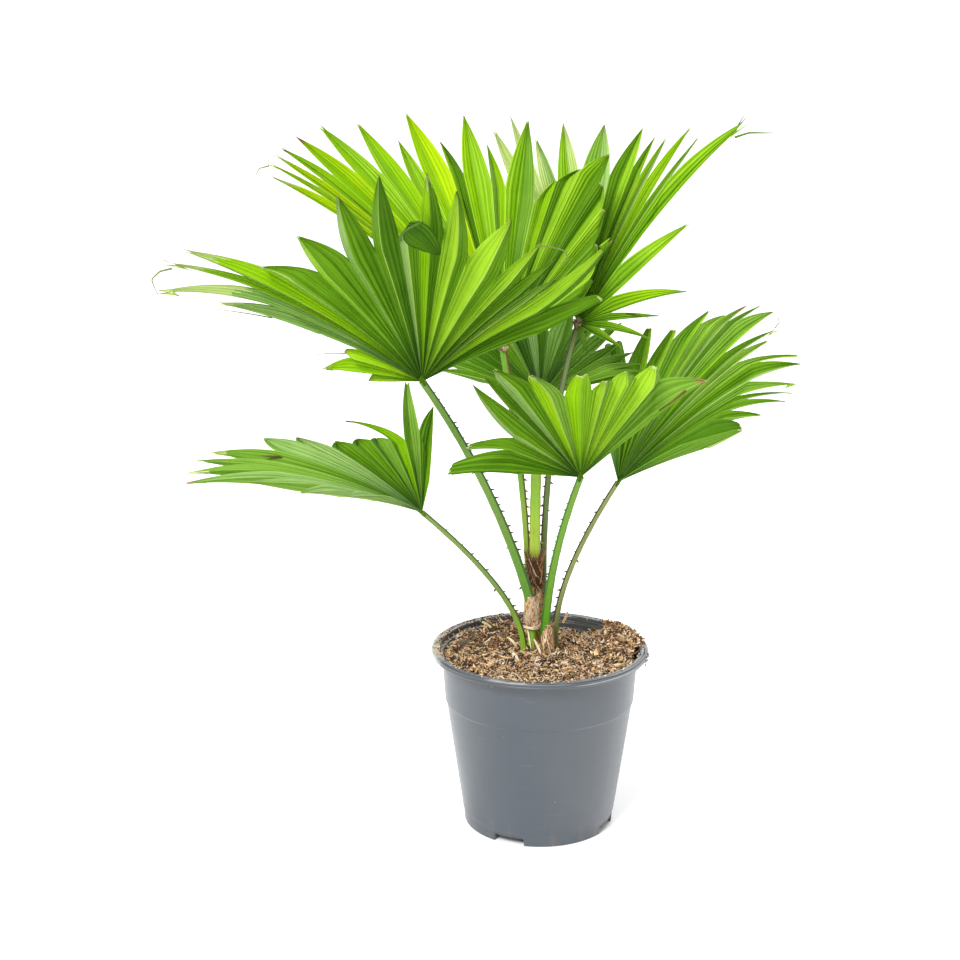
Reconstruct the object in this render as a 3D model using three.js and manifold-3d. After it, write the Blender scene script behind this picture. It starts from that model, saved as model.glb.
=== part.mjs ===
// A young Chinese fan palm in a plastic nursery pot: seven pleated fan leaves on slim leaf
// stalks, three fibre-wrapped stems, coir compost and the pot.
// Millimetres, +Z up, +X to the right, +Y to the back. The origin is the centre of the pot's
// flat underside.

import * as THREE from 'three';
import Module from 'manifold-3d';
import { mergeVertices } from 'three/addons/utils/BufferGeometryUtils.js';

// ---- driving dimensions ----

const GAP = 0.3; // clearance between pieces that touch on the real plant

const POT = {
  sides: 48,
  height: 178,
  rimRadius: 105,
  collarRadius: 95, // under the rim
  collarFoot: 126, // height where the collar steps in to the wall
  wallTop: 90.6,
  wallFoot: 74.6,
  footStep: 13, // height of the foot ring
  footRadius: 73.2,
  wall: 2,
  padRadius: 50, // flat pad that the pot stands on, inside the drain channel
  channel: 8, // height of the raised drain channel's underside
  notches: 4,
  notchHeight: 7,
  notchWidth: 31,
  notchTurn: 245, // heading of the first notch
};

const COMPOST = {
  spokes: 36,
  rings: 7,
  level: 170,
  heap: 7, // raised at the right edge, over the rim
  sink: 9, // sunk at the back right
  mound: 4, // raised round the stems
  spread: 30, // radius of heap, hollow and mound
  lump: 2,
};

// Stems: foot centre, top centre, radii at foot, middle and top.
const STEM_FOOT = 164;
const STEMS = {
  stem_left: { foot: [-8, 0], top: [-8, 0, 227], radii: [5, 7.4, 7.2], fray: 4 },
  stem_right: { foot: [8, -8], top: [6.5, -8, 201], radii: [6.8, 6.3, 5.9], fray: 3 },
  stem_back: { foot: [-4, 21], top: [-5, 19, 263], radii: [8, 8, 8.9], fray: 5 },
};

// Leaves. hub: where blade and stalk meet. heading, rise, roll: the way the blade's middle
// points, seen from above and above the horizon, and its turn about that line, in degrees.
// cup: how far each side of the blade folds up. droop: how far it sags at 200 mm. lobes: the
// angle of each lobe's tip from the blade's middle and its distance from the hub. partings: the
// fold lines between the lobes, from one side edge to the other: each one's angle, and the
// distance from the hub where the lobes part. blunt: lobes with a torn or rounded end, and its
// width as a part of the lobe's. stalk: its foot, the point it bows towards, and its radii.
const LEAVES = {
  a: {
    hub: [-109, -90, 457], heading: 262, rise: 61, roll: 0, cup: [15, 15], droop: 35,
    lobes: [
      [-55, 196], [-42, 254], [-43.5, 178], [-39, 196], [-34, 202], [-25, 212], [-12, 228],
      [-6, 248], [-1, 175], [3, 244], [13, 224], [28, 194], [42.5, 189], [49, 264], [53, 274],
      [60, 266], [61, 206], [71, 76], [89, 98], [100, 54],
    ],
    partings: [
      [-65, 105], [-54, 140], [-47, 124], [-43, 135], [-38, 140], [-32, 138], [-20, 142],
      [-11, 168], [-4, 166], [2, 164], [11, 150], [22, 144], [35, 144], [45, 180], [50.3, 192],
      [52.6, 172], [57.5, 150], [63, 58], [78, 68], [94, 50], [106, 30],
    ],
    blunt: { 0: 0.35, 8: 0.8, 12: 0.15, 17: 0.4 },
    stalk: { foot: [-6, 0, 212], bow: [-40, -23, 341], radii: [4.8, 2.9] },
  },
  b: {
    hub: [-112, -35, 322], heading: 170, rise: 24, roll: 18, cup: [60, 15], droop: 40,
    lobes: [
      [-50, 110], [-41, 150], [-31, 190], [-22, 240], [-12.5, 236], [-2.5, 234], [2.6, 232],
      [10.5, 186], [17, 160], [24, 124], [33, 115], [44, 113], [38, 154], [63, 222], [71, 168],
    ],
    partings: [
      [-56, 60], [-46, 90], [-37, 115], [-28, 140], [-19, 150], [-10, 165], [-3, 165], [4.5, 160],
      [13, 150], [19, 118], [28, 108], [38, 104], [48.5, 98], [57, 98], [65.5, 112], [77, 40],
    ],
    blunt: { 7: 0.4, 13: 0.2 },
    stalk: { foot: [-16.5, 2, STEM_FOOT], bow: [-6, -4, 220], radii: [3, 2.3] },
  },
  c: {
    hub: [33, -75, 366], heading: 270, rise: 60, roll: -12, cup: [10, 10], droop: 15,
    lobes: [
      [-50, 148], [-29, 134], [-17, 126], [-8, 119], [2, 128], [20, 146], [29, 164], [32.8, 163],
      [37.5, 160], [61, 118], [79, 122],
    ],
    partings: [
      [-54, 60], [-37, 118], [-24, 116], [-13, 112], [-4, 100], [10, 98], [22, 126], [31, 142],
      [36, 98], [49, 80], [60.5, 72], [86, 50],
    ],
    blunt: { 0: 0.4, 1: 0.3, 3: 0.5, 4: 0.6, 9: 0.5, 10: 0.6 },
    stalk: { foot: [4.5, -8, 190], bow: [6, -30, 273], radii: [4.2, 2.8] },
  },
  d: {
    hub: [75, 25, 336], heading: 18, rise: 38, roll: -22, cup: [15, 60], droop: 40,
    lobes: [
      [-52, 197], [-41, 216], [-34, 214], [-28.5, 264], [-25, 267], [-22.3, 294], [-20, 300],
      [-17.6, 303], [-12.8, 274], [-11, 250], [-4, 254], [-1, 246], [7, 216], [12, 204], [16, 192],
      [21, 162], [33, 147],
    ],
    partings: [
      [-62, 70], [-46, 144], [-38.5, 150], [-33, 190], [-28, 230], [-25.2, 234], [-22.6, 245],
      [-20.6, 250], [-16, 195], [-13, 210], [-10.5, 192], [-7, 200], [-2, 178], [1.5, 154],
      [4, 146], [8, 126], [16, 112], [38, 84],
    ],
    blunt: { 0: 0.6, 1: 0.3, 2: 0.4, 10: 0.3, 15: 0.6, 16: 0.6 },
    stalk: { foot: [18.5, 6, STEM_FOOT], bow: [2, 8, 224], radii: [2.9, 2.3] },
  },
  e: {
    hub: [-36, 50, 463], heading: 96, rise: 64, roll: 0, cup: [10, 10], droop: 25,
    lobes: [
      [-45.8, 304], [-43.8, 320], [-42, 322], [-40, 324], [-37, 320], [-33, 314], [-27, 292],
      [-21.8, 250], [-18, 276], [-12.7, 234], [-6, 258], [-1.5, 220], [8.4, 254], [18.7, 190],
      [23.8, 212], [28.2, 246], [31, 209], [35.5, 184], [41.8, 146], [52.8, 114],
    ],
    partings: [
      [-45.4, 190], [-43.5, 240], [-42.3, 250], [-40.6, 252], [-38.4, 250], [-34.6, 236],
      [-30, 218], [-24.5, 196], [-20.5, 198], [-13, 190], [-9.5, 186], [-1, 170], [3.5, 168],
      [14, 152], [19, 185], [24, 208], [30, 204], [35, 179], [41, 141], [52, 109], [68, 50],
    ],
    blunt: {},
    stalk: { foot: [-12.1, 21, 245], bow: [-11, 24, 310], radii: [2.5, 3.3] },
  },
  f: {
    hub: [38, 90, 479], heading: 38, rise: 47, roll: -25, cup: [10, 15], droop: 30,
    lobes: [
      [-49, 302], [-45, 310], [-41.5, 262], [-35, 278], [-26, 272], [-17, 266], [-14, 260],
      [-11, 262], [-8, 294], [-5, 280], [-0.3, 345], [12, 162], [46, 114], [60, 84], [78, 80],
      [97, 62],
    ],
    partings: [
      [-52, 190], [-47.5, 200], [-43.5, 190], [-38.5, 170], [-31, 175], [-21.5, 182], [-15.5, 200],
      [-12.8, 190], [-10.2, 186], [-6.5, 156], [-4.2, 200], [2.4, 72], [24, 42], [50, 34],
      [66, 30], [86, 26], [106, 20],
    ],
    blunt: {},
    stalk: { foot: [7, 22, STEM_FOOT], bow: [-6, 28, 345], radii: [3.2, 2.5] },
  },
  g: {
    hub: [2, 85, 407], heading: 90, rise: 25, roll: 0, cup: [20, 20], droop: 20,
    lobes: [
      [-82, 106], [-72, 115], [-61, 125], [-48, 135], [-36, 145], [-24, 155], [-12, 165], [0, 175],
      [12, 178], [24, 176], [36, 150], [48, 114], [60, 111], [72, 108], [83, 105],
    ],
    partings: [
      [-90, 50], [-78, 72], [-66, 78], [-54, 84], [-42, 90], [-30, 96], [-18, 102], [-6, 108],
      [6, 114], [18, 116], [30, 104], [42, 80], [54, 76], [66, 73], [78, 70], [90, 50],
    ],
    blunt: {},
    stalk: { foot: [-4.4, 19, 245], bow: [-6, 24, 350], radii: [4.7, 3.4] },
  },
};

const BLADE = {
  thick: 2.8,
  hubThick: 3.4, // added at the hub
  hubReach: 9,
  fold: 0.5, // depth of a pleat, as a part of its half width
  innerRing: 8,
  tip: 0.7, // half width of a pointed end
  taper: 1.6, // over 1 is fuller lobes
  lean: 1.15, // over 1, a lobe bends more near its tip
  freeRows: 3,
  bluntDip: 6, // how far a blunt end's corners fall short of its middle
};

const STALK = {
  depth: 0.85, // front to back, as a part of the width
  taper: 0.7, // power of the fall from the first radius to the second
};
const SPINES = { step: 24, length: 3.4, root: 1.1, first: 0.25, last: 0.9 };

// ---- helpers ----

const wasm = await Module();
wasm.setup();

const rad = THREE.MathUtils.degToRad;

// An even, repeatable spread of numbers from 0 to 1.
function vary(n) {
  const v = Math.sin(n * 12.9898) * 43758.5453;
  return v - Math.floor(v);
}

function geometryOf(points, triangles) {
  const geometry = new THREE.BufferGeometry();
  const flat = points.flatMap((p) => [p.x, p.y, p.z]);
  geometry.setAttribute('position', new THREE.Float32BufferAttribute(flat, 3));
  geometry.setIndex(triangles.flat());
  return geometry;
}

function toSolid(geometry) {
  const bare = geometry.clone();
  bare.deleteAttribute('normal');
  bare.deleteAttribute('uv');
  const merged = mergeVertices(bare, 1e-4);
  const mesh = new wasm.Mesh({
    numProp: 3,
    vertProperties: new Float32Array(merged.attributes.position.array),
    triVerts: new Uint32Array(merged.index.array),
  });
  return new wasm.Manifold(mesh);
}

// The largest body of a solid, without the scraps that a cut may leave.
function largest(solid) {
  const bodies = solid.decompose();
  return bodies.reduce((a, b) => (a.volume() > b.volume() ? a : b));
}

function toGeometry(solid) {
  const mesh = solid.getMesh();
  const geometry = new THREE.BufferGeometry();
  geometry.setAttribute('position', new THREE.BufferAttribute(mesh.vertProperties, 3));
  geometry.setIndex(new THREE.BufferAttribute(mesh.triVerts, 1));
  return geometry;
}

function material(color, roughness) {
  return new THREE.MeshStandardMaterial({ color, roughness, metalness: 0 });
}

// A closed tube: rings of points, one inside the next, with a flat cap at each end.
function skin(rings) {
  const sides = rings[0].length;
  const points = rings.flat();
  const triangles = [];
  for (let k = 0; k + 1 < rings.length; k += 1) {
    for (let j = 0; j < sides; j += 1) {
      const a = k * sides + j;
      const b = k * sides + ((j + 1) % sides);
      triangles.push([a, b, b + sides], [a, b + sides, a + sides]);
    }
  }
  const last = (rings.length - 1) * sides;
  for (let j = 1; j + 1 < sides; j += 1) {
    triangles.push([0, j + 1, j], [last, last + j, last + j + 1]);
  }
  return geometryOf(points, triangles);
}

// ---- pot ----

// Inner radius of the pot's wall at a height above the drain channel.
function potInside(z) {
  const t = (z - POT.footStep) / (POT.collarFoot - POT.footStep);
  const wall = POT.wallFoot + (POT.wallTop - POT.wallFoot) * t;
  const c = (z - POT.collarFoot) / (POT.height - 8 - POT.collarFoot);
  const collar = POT.wallTop + (POT.collarRadius - 1 - POT.wallTop) * c;
  return (z > POT.collarFoot ? collar : wall) - POT.wall;
}

function pot() {
  const { height: h, rimRadius: rim, collarRadius: collar, footRadius: foot } = POT;
  const outside = [
    [0, 0], [POT.padRadius, 0], [POT.padRadius + 3, POT.channel], [foot - 4, POT.channel],
    [foot - 2.6, 0], [foot - 1, 0], [foot, 1.4], [foot + 0.6, POT.footStep - 1],
    [POT.wallFoot, POT.footStep], [POT.wallTop, POT.collarFoot - 1.5],
    [POT.wallTop + 1.6, POT.collarFoot], [collar, h - 8], [collar + 1.5, h - 6.6],
    [rim - 1.2, h - 6.2], [rim, h - 4.8], [rim, h - 1.4], [rim - 1.4, h],
  ];
  const inside = [
    [rim - 7, h], [rim - 8.4, h - 1.2], [rim - 9.4, h - 6], [rim - 11, h - 6.8],
    [potInside(h - 13) + 0.8, h - 12.4], [potInside(h - 13), h - 13],
    [potInside(POT.collarFoot), POT.collarFoot],
    [potInside(POT.footStep), POT.footStep], [foot - 3, POT.channel + 2],
    [POT.padRadius + 1.4, POT.channel + 2], [POT.padRadius - 1.6, 2], [0, 2],
  ];
  const profile = [...outside, ...inside].map(([r, z]) => new THREE.Vector2(r, z));
  profile.push(profile[0].clone());
  const shell = new THREE.LatheGeometry(profile, POT.sides);
  shell.rotateX(Math.PI / 2);
  let solid = toSolid(shell);
  const depth = 12;
  for (let k = 0; k < POT.notches; k += 1) {
    const turn = rad(POT.notchTurn + (360 / POT.notches) * k);
    const cutter = new THREE.BoxGeometry(depth, POT.notchWidth, POT.notchHeight * 2);
    cutter.translate(foot, 0, 0);
    cutter.rotateZ(turn);
    solid = solid.subtract(toSolid(cutter));
  }
  return solid;
}

// ---- compost ----

// Height of the rough compost surface: heaped right, sunk back right, raised round the stems.
function compostHeight(x, y) {
  const hill = (cx, cy) => Math.exp(-((x - cx) ** 2 + (y - cy) ** 2) / COMPOST.spread ** 2);
  const lump = Math.sin(x * 0.19 + 1.3) * Math.cos(y * 0.23) + Math.sin((x + y) * 0.31) * 0.6;
  return COMPOST.level + COMPOST.heap * hill(88, 2) - COMPOST.sink * hill(38, 84)
    + COMPOST.mound * hill(0, 0) + COMPOST.lump * lump;
}

function compost() {
  const { spokes, rings } = COMPOST;
  const clear = 0.5;
  const floor = POT.channel + 2 + clear;
  const points = [new THREE.Vector3(0, 0, 2 + clear)];
  const under = [
    [POT.padRadius - 2.2, 2 + clear], [POT.padRadius + 1, floor],
    [POT.footRadius - 4, floor], [potInside(POT.footStep) - clear, POT.footStep + clear],
    [potInside(POT.collarFoot) - clear, POT.collarFoot],
  ];
  const circle = (r, height) => {
    for (let j = 0; j < spokes; j += 1) {
      const a = (j / spokes) * Math.PI * 2;
      const x = r(a) * Math.cos(a);
      const y = r(a) * Math.sin(a);
      points.push(new THREE.Vector3(x, y, height(x, y)));
    }
  };
  under.forEach(([r, z]) => circle(() => r, () => z));
  const brim = (a) => {
    const wide = potInside(COMPOST.level) - clear;
    const z = compostHeight(wide * Math.cos(a), wide * Math.sin(a));
    return potInside(Math.min(z, POT.height - 14)) - clear;
  };
  for (let k = rings; k > 0; k -= 1) {
    circle((a) => (brim(a) * k) / rings, compostHeight);
  }
  points.push(new THREE.Vector3(0, 0, compostHeight(0, 0)));
  const triangles = [];
  const count = under.length + rings;
  for (let j = 0; j < spokes; j += 1) {
    const next = (j + 1) % spokes;
    triangles.push([0, 1 + next, 1 + j]);
    for (let k = 0; k + 1 < count; k += 1) {
      const a = 1 + k * spokes + j;
      const b = 1 + k * spokes + next;
      triangles.push([a, b, b + spokes], [a, b + spokes, a + spokes]);
    }
    const last = 1 + (count - 1) * spokes;
    triangles.push([last + j, last + next, points.length - 1]);
  }
  return toSolid(geometryOf(points, triangles));
}

// ---- stems ----

// A short stem wrapped in leaf-base fibre: a lean column whose top edge is frayed.
function stem({ foot, top, radii, fray }, grow = 0) {
  const sides = 12;
  const levels = [0, 0.3, 0.6, 0.85, 1];
  const rings = levels.map((t) => {
    const z = THREE.MathUtils.lerp(STEM_FOOT, top[2], t) + (t === 0 ? -grow : 0);
    const x = THREE.MathUtils.lerp(foot[0], top[0], t);
    const y = THREE.MathUtils.lerp(foot[1], top[1], t);
    const r = t < 0.6
      ? THREE.MathUtils.lerp(radii[0], radii[1], t / 0.6)
      : THREE.MathUtils.lerp(radii[1], radii[2], (t - 0.6) / 0.4);
    return Array.from({ length: sides }, (_, j) => {
      const a = (j / sides) * Math.PI * 2;
      const wave = 1 + 0.06 * Math.sin(a * 3 + t * 7);
      const tuft = t === 1 ? (j % 2) * fray + grow : 0;
      return new THREE.Vector3(
        x + (r * wave + grow) * Math.cos(a), y + (r * wave + grow) * Math.sin(a), z + tuft);
    });
  });
  return toSolid(skin(rings));
}

// ---- leaf stalks ----

function stalkCurve({ hub, stalk }) {
  return new THREE.QuadraticBezierCurve3(
    new THREE.Vector3(...stalk.foot), new THREE.Vector3(...stalk.bow), new THREE.Vector3(...hub));
}

// One tapering limb, a little flattened, along the stalk's bowed line.
function stalkTube(leaf, grow = 0) {
  const curve = stalkCurve(leaf);
  const [thick, slim] = leaf.stalk.radii;
  const steps = 9;
  const sides = 8;
  const rings = [];
  for (let k = 0; k <= steps; k += 1) {
    const t = k / steps;
    const centre = curve.getPointAt(t);
    const along = curve.getTangentAt(t);
    const across = new THREE.Vector3().crossVectors(along, new THREE.Vector3(0, 1, 0)).normalize();
    const out = new THREE.Vector3().crossVectors(along, across);
    const r = THREE.MathUtils.lerp(thick, slim, t ** STALK.taper);
    if (k === 0) centre.addScaledVector(along, -grow);
    if (k === steps) centre.addScaledVector(along, grow);
    rings.push(Array.from({ length: sides }, (_, j) => {
      const a = ((j + 0.5) / sides) * Math.PI * 2;
      return centre.clone()
        .addScaledVector(across, (r + grow) * Math.cos(a))
        .addScaledVector(out, (r * STALK.depth + grow) * Math.sin(a));
    }));
  }
  return toSolid(skin(rings));
}

// Short hooked spines along both edges of a stalk, turned back towards its foot.
function spines(leaf, seed) {
  const curve = stalkCurve(leaf);
  const length = curve.getLength();
  const [thick, slim] = leaf.stalk.radii;
  const made = [];
  let k = 0;
  for (let d = length * SPINES.first; d < length * SPINES.last; d += SPINES.step) {
    k += 1;
    const t = d / length;
    const along = curve.getTangentAt(t);
    const side = k % 2 ? 1 : -1;
    const across = new THREE.Vector3().crossVectors(along, new THREE.Vector3(0, 1, 0)).normalize();
    const r = THREE.MathUtils.lerp(thick, slim, t ** STALK.taper);
    const cone = new THREE.ConeGeometry(SPINES.root, SPINES.length, 4);
    const point = across.clone().multiplyScalar(side).addScaledVector(along, -0.5).normalize();
    cone.applyQuaternion(new THREE.Quaternion().setFromUnitVectors(new THREE.Vector3(0, 1, 0), point));
    const at = curve.getPointAt(t).addScaledVector(across, side * (r + 0.25 + 0.3 * vary(seed + k)));
    cone.translate(at.x, at.y, at.z);
    made.push(toSolid(cone));
  }
  return made;
}

// ---- fan blades ----

function bladeFrame({ heading, rise, roll }) {
  const [a, b, c] = [rad(heading), rad(rise), rad(roll)];
  const middle = new THREE.Vector3(
    Math.cos(b) * Math.cos(a), Math.cos(b) * Math.sin(a), Math.sin(b));
  const flat = new THREE.Vector3(
    -Math.sin(b) * Math.cos(a), -Math.sin(b) * Math.sin(a), Math.cos(b));
  const level = new THREE.Vector3().crossVectors(middle, flat);
  const side = level.clone().multiplyScalar(Math.cos(c)).addScaledVector(flat, Math.sin(c));
  const face = flat.clone().multiplyScalar(Math.cos(c)).addScaledVector(level, -Math.sin(c));
  return { middle, side, face };
}

// Unit line from the hub at an angle from the blade's middle, folded up by the cup.
function ray(leaf, frame, phi) {
  const fold = rad(leaf.cup[phi > 0 ? 1 : 0]) * Math.min(1, Math.abs(phi) / 90) ** 1.3;
  return frame.middle.clone().multiplyScalar(Math.cos(rad(phi)))
    .addScaledVector(frame.side, Math.sin(rad(phi)))
    .multiplyScalar(Math.cos(fold)).addScaledVector(frame.face, Math.sin(fold));
}

// A point of the blade at an angle and a distance from the hub, with its upward normal.
function bladePoint(leaf, frame, phi, s) {
  const line = ray(leaf, frame, phi);
  const turn = ray(leaf, frame, phi + 0.5).sub(ray(leaf, frame, phi - 0.5));
  const normal = new THREE.Vector3().crossVectors(turn, line).normalize();
  const point = new THREE.Vector3(...leaf.hub).addScaledVector(line, s);
  point.z -= leaf.droop * (s / 200) ** 2 * Math.hypot(line.x, line.y);
  return { point, normal };
}

// The pleated blade: lobes side by side, each folded down along its rib, joined up to where
// they part and free beyond it, leaning and tapering to their tips. Built as one surface and
// then given its thickness.
function blade(leaf) {
  const frame = bladeFrame(leaf);
  const count = leaf.lobes.length;
  const lines = leaf.partings.map(([angle]) => angle);
  const partings = leaf.partings.map(([, distance]) => distance);
  const tops = [];
  const unders = [];
  const faces = [];

  const vertex = (phi, s, lift) => {
    const { point, normal } = bladePoint(leaf, frame, phi, s);
    const thick = (BLADE.thick + BLADE.hubThick * Math.exp(-((s / BLADE.hubReach) ** 2))) / 2;
    tops.push(point.clone().addScaledVector(normal, lift + thick));
    unders.push(point.clone().addScaledVector(normal, lift - thick));
    return tops.length - 1;
  };
  const strip = (left, right) => {
    for (let k = 0; k + 1 < left.length; k += 1) {
      if (left[k] === right[k]) faces.push([left[k], right[k + 1], left[k + 1]]);
      else faces.push([left[k], right[k], right[k + 1]], [left[k], right[k + 1], left[k + 1]]);
    }
  };

  const hub = vertex(0, 0, 0);
  const rows = (r) => [BLADE.innerRing, r * 0.5, r];
  const edges = partings.map((r, b) => {
    const wide = lines[Math.min(b + 1, count)] - lines[Math.max(b - 1, 0)];
    const half = Math.tan(rad(wide / (b % count ? 4 : 2)));
    return [hub, ...rows(r).map((s) => vertex(lines[b], s, BLADE.fold * half * s))];
  });

  for (let i = 0; i < count; i += 1) {
    const middle = (lines[i] + lines[i + 1]) / 2;
    const half = Math.tan(rad((lines[i + 1] - lines[i]) / 2));
    const [tip, length] = leaf.lobes[i];
    const left = [...edges[i]];
    const right = [...edges[i + 1]];
    const r = (partings[i] + partings[i + 1]) / 2;
    const rib = [hub, ...rows(r).map((s) => vertex(middle, s, -BLADE.fold * half * s))];
    const end = leaf.blunt[i] ?? 0;
    for (let j = 1; j <= BLADE.freeRows; j += 1) {
      const t = j / BLADE.freeRows;
      const phi = middle + (tip - middle) * t ** BLADE.lean;
      const shrink = end + (1 - end) * (1 - t ** BLADE.taper);
      const side = (parting, sign, line) => {
        const s = THREE.MathUtils.lerp(parting, length - end * BLADE.bluntDip, t);
        const width = Math.max(BLADE.tip, parting * half * shrink);
        line.push(vertex(phi + sign * THREE.MathUtils.radToDeg(width / s), s, BLADE.fold * width));
      };
      side(partings[i], -1, left);
      side(partings[i + 1], 1, right);
      const s = THREE.MathUtils.lerp(r, length, t);
      rib.push(vertex(phi, s, -BLADE.fold * Math.max(BLADE.tip, r * half * shrink)));
    }
    strip(left, rib);
    strip(rib, right);
  }

  const n = tops.length;
  const open = new Map();
  for (const [a, b, c] of faces) {
    for (const [u, v] of [[a, b], [b, c], [c, a]]) {
      if (!open.delete(`${v} ${u}`)) open.set(`${u} ${v}`, [u, v]);
    }
  }
  const walls = [...open.values()].flatMap(([u, v]) => [[v, u, u + n], [v, u + n, v + n]]);
  const below = faces.map(([a, b, c]) => [c + n, b + n, a + n]);
  return toSolid(geometryOf([...tops, ...unders], [...faces, ...below, ...walls]));
}

// ---- the plant in its pot ----

const group = new THREE.Group();

function add(name, solid, finish) {
  const mesh = new THREE.Mesh(toGeometry(largest(solid)), finish);
  mesh.name = name;
  group.add(mesh);
}

const names = Object.keys(LEAVES);
const rooms = names.map((key) => stalkTube(LEAVES[key], GAP));
const cutAll = (solid, cutters) => cutters.reduce((s, c) => s.subtract(c), solid);

add('pot', pot(), material(0x6c747c, 0.55));
const stemRooms = Object.values(STEMS).map((s) => stem(s, GAP));
add('compost', cutAll(compost(), [...stemRooms, ...rooms]), material(0x8f6a45, 1));
for (const [name, shape] of Object.entries(STEMS)) {
  add(name, cutAll(stem(shape), rooms), material(0xa8824e, 0.95));
}
names.forEach((key, i) => {
  const leaf = LEAVES[key];
  const limb = spines(leaf, i * 40).reduce((s, spine) => s.add(spine), stalkTube(leaf));
  const others = rooms.filter((_, j) => j !== i);
  add(`stalk_${key}`, cutAll(limb, others), material(0x6f9a35, 0.5));
});
names.forEach((key) => {
  add(`frond_${key}`, cutAll(blade(LEAVES[key]), rooms), material(0x5f9f2a, 0.6));
});

export default group;
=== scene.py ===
import bmesh
import bpy
import numpy as np
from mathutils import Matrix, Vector


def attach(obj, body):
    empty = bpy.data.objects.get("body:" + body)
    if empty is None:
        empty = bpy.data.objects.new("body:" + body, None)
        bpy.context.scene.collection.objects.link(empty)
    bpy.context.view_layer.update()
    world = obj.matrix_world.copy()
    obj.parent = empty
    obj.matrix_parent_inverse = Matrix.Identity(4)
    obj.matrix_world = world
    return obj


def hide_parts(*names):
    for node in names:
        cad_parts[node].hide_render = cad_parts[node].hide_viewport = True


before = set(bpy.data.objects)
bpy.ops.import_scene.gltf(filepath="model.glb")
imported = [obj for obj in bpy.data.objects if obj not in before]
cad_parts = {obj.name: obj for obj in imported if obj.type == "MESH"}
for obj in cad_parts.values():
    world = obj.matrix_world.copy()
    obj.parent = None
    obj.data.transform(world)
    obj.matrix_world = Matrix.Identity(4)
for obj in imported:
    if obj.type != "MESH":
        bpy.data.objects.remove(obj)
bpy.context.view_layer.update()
scene = bpy.context.scene
scene.view_settings.view_transform = "Standard"

# Studio. A plain white floor with a far white wall, white surroundings, a wide soft sun high on
# the left in front, a soft box behind that shines through the leaves, and a camera a little
# above the pot that looks along +Y and down.

CAMERA_AT = (-0.058, -1.600, 0.752)
CAMERA_PITCH = 75.7
CAMERA_LENS = 65.25
SENSOR_WIDTH = 36
FLOOR_REACH = 30000
WALL_HEIGHT = 9000
SURROUNDINGS = 0.8
LAMPS_AIM = (0, 0, 0.35)
LAMPS = [  # name, kind, place, strength, and its size in metres or the sun's width in radians
    ("key_light", "SUN", (-1.1, -1.7, 2.3), 3.35, 0.42),
    ("back_light", "AREA", (0.9, 1.6, 2.2), 46.0, 1.2),
]


def arithmetic(operation):
    """A value's two methods for one operation: on the left of the sign, and on the right."""
    def left(self, other):
        return self.math(operation, self, other)

    def right(self, other):
        return self.math(operation, other, self)

    return left, right


class Value:
    """One number or colour inside a material. Arithmetic on it adds Math nodes."""

    __add__, __radd__ = arithmetic("ADD")
    __sub__, __rsub__ = arithmetic("SUBTRACT")
    __mul__, __rmul__ = arithmetic("MULTIPLY")
    __truediv__, __rtruediv__ = arithmetic("DIVIDE")

    def __init__(self, finish, socket):
        self.finish = finish
        self.socket = socket

    def math(self, operation, *values):
        return self.finish.node("ShaderNodeMath", {"operation": operation}, *values)

    def above(self, edge, soft):
        """0 below edge, 1 above edge + soft, a straight ramp between."""
        return self.finish.node("ShaderNodeMapRange", {}, self, edge, edge + soft, 0.0, 1.0)


class Finish:
    """A material with one Principled shader, built up from nodes. steady gives other sockets of
    the shader that are the same all over."""

    def __init__(self, name, colour, roughness, steady=None):
        self.material = bpy.data.materials.new(name)
        self.material.use_nodes = True
        self.tree = self.material.node_tree
        self.shader = self.tree.nodes["Principled BSDF"]
        self.shader.inputs["Base Color"].default_value = (*colour, 1)
        for socket, value in {"Roughness": roughness, **(steady or {})}.items():
            self.shader.inputs[socket].default_value = value

    def put(self, socket, value):
        if isinstance(value, Value):
            self.tree.links.new(value.socket, socket)
        elif socket.type == "RGBA":
            socket.default_value = (*value, 1)
        else:
            socket.default_value = value

    def node(self, kind, settings, *values, out=0, **named):
        """A node of that kind: its settings, then the values or links of its sockets."""
        made = self.tree.nodes.new(kind)
        for key, setting in settings.items():
            setattr(made, key, setting)
        for socket, value in zip(made.inputs, values):
            self.put(socket, value)
        for key, value in named.items():
            self.put(made.inputs[key], value)
        return Value(self, made.outputs[out])

    def mix(self, share, low, high):
        """Colour low where share is 0, colour high where it is 1."""
        made = self.node("ShaderNodeMix", {"data_type": "RGBA"}, share, out=2)
        self.put(made.socket.node.inputs[6], low)
        self.put(made.socket.node.inputs[7], high)
        return made

    def place(self, stretch=(1, 1, 1)):
        """The point on the piece in metres, with each axis stretched."""
        at = self.node("ShaderNodeTexCoord", {}, out="Object")
        return self.node("ShaderNodeMapping", {}, Vector=at, Scale=stretch)

    def axis(self, at, number):
        """One of the three numbers of a point: 0 is x, 1 is y, 2 is z."""
        return self.node("ShaderNodeSeparateXYZ", {}, at, out=number)

    def noise(self, at, scale, detail=3.0, rough=0.55):
        return self.node("ShaderNodeTexNoise", {}, Vector=at, Scale=scale, Detail=detail,
                         Roughness=rough)

    def wear(self, colour=None, roughness=None, height=None, depth=0.001):
        """Feeds the shader: colour, roughness, and a height that becomes a bump."""
        if colour:
            self.put(self.shader.inputs["Base Color"], colour)
        if roughness:
            self.put(self.shader.inputs["Roughness"], roughness)
        if height:
            bump = self.node("ShaderNodeBump", {}, Height=height, Distance=depth)
            self.put(self.shader.inputs["Normal"], bump)
        return self.material


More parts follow.
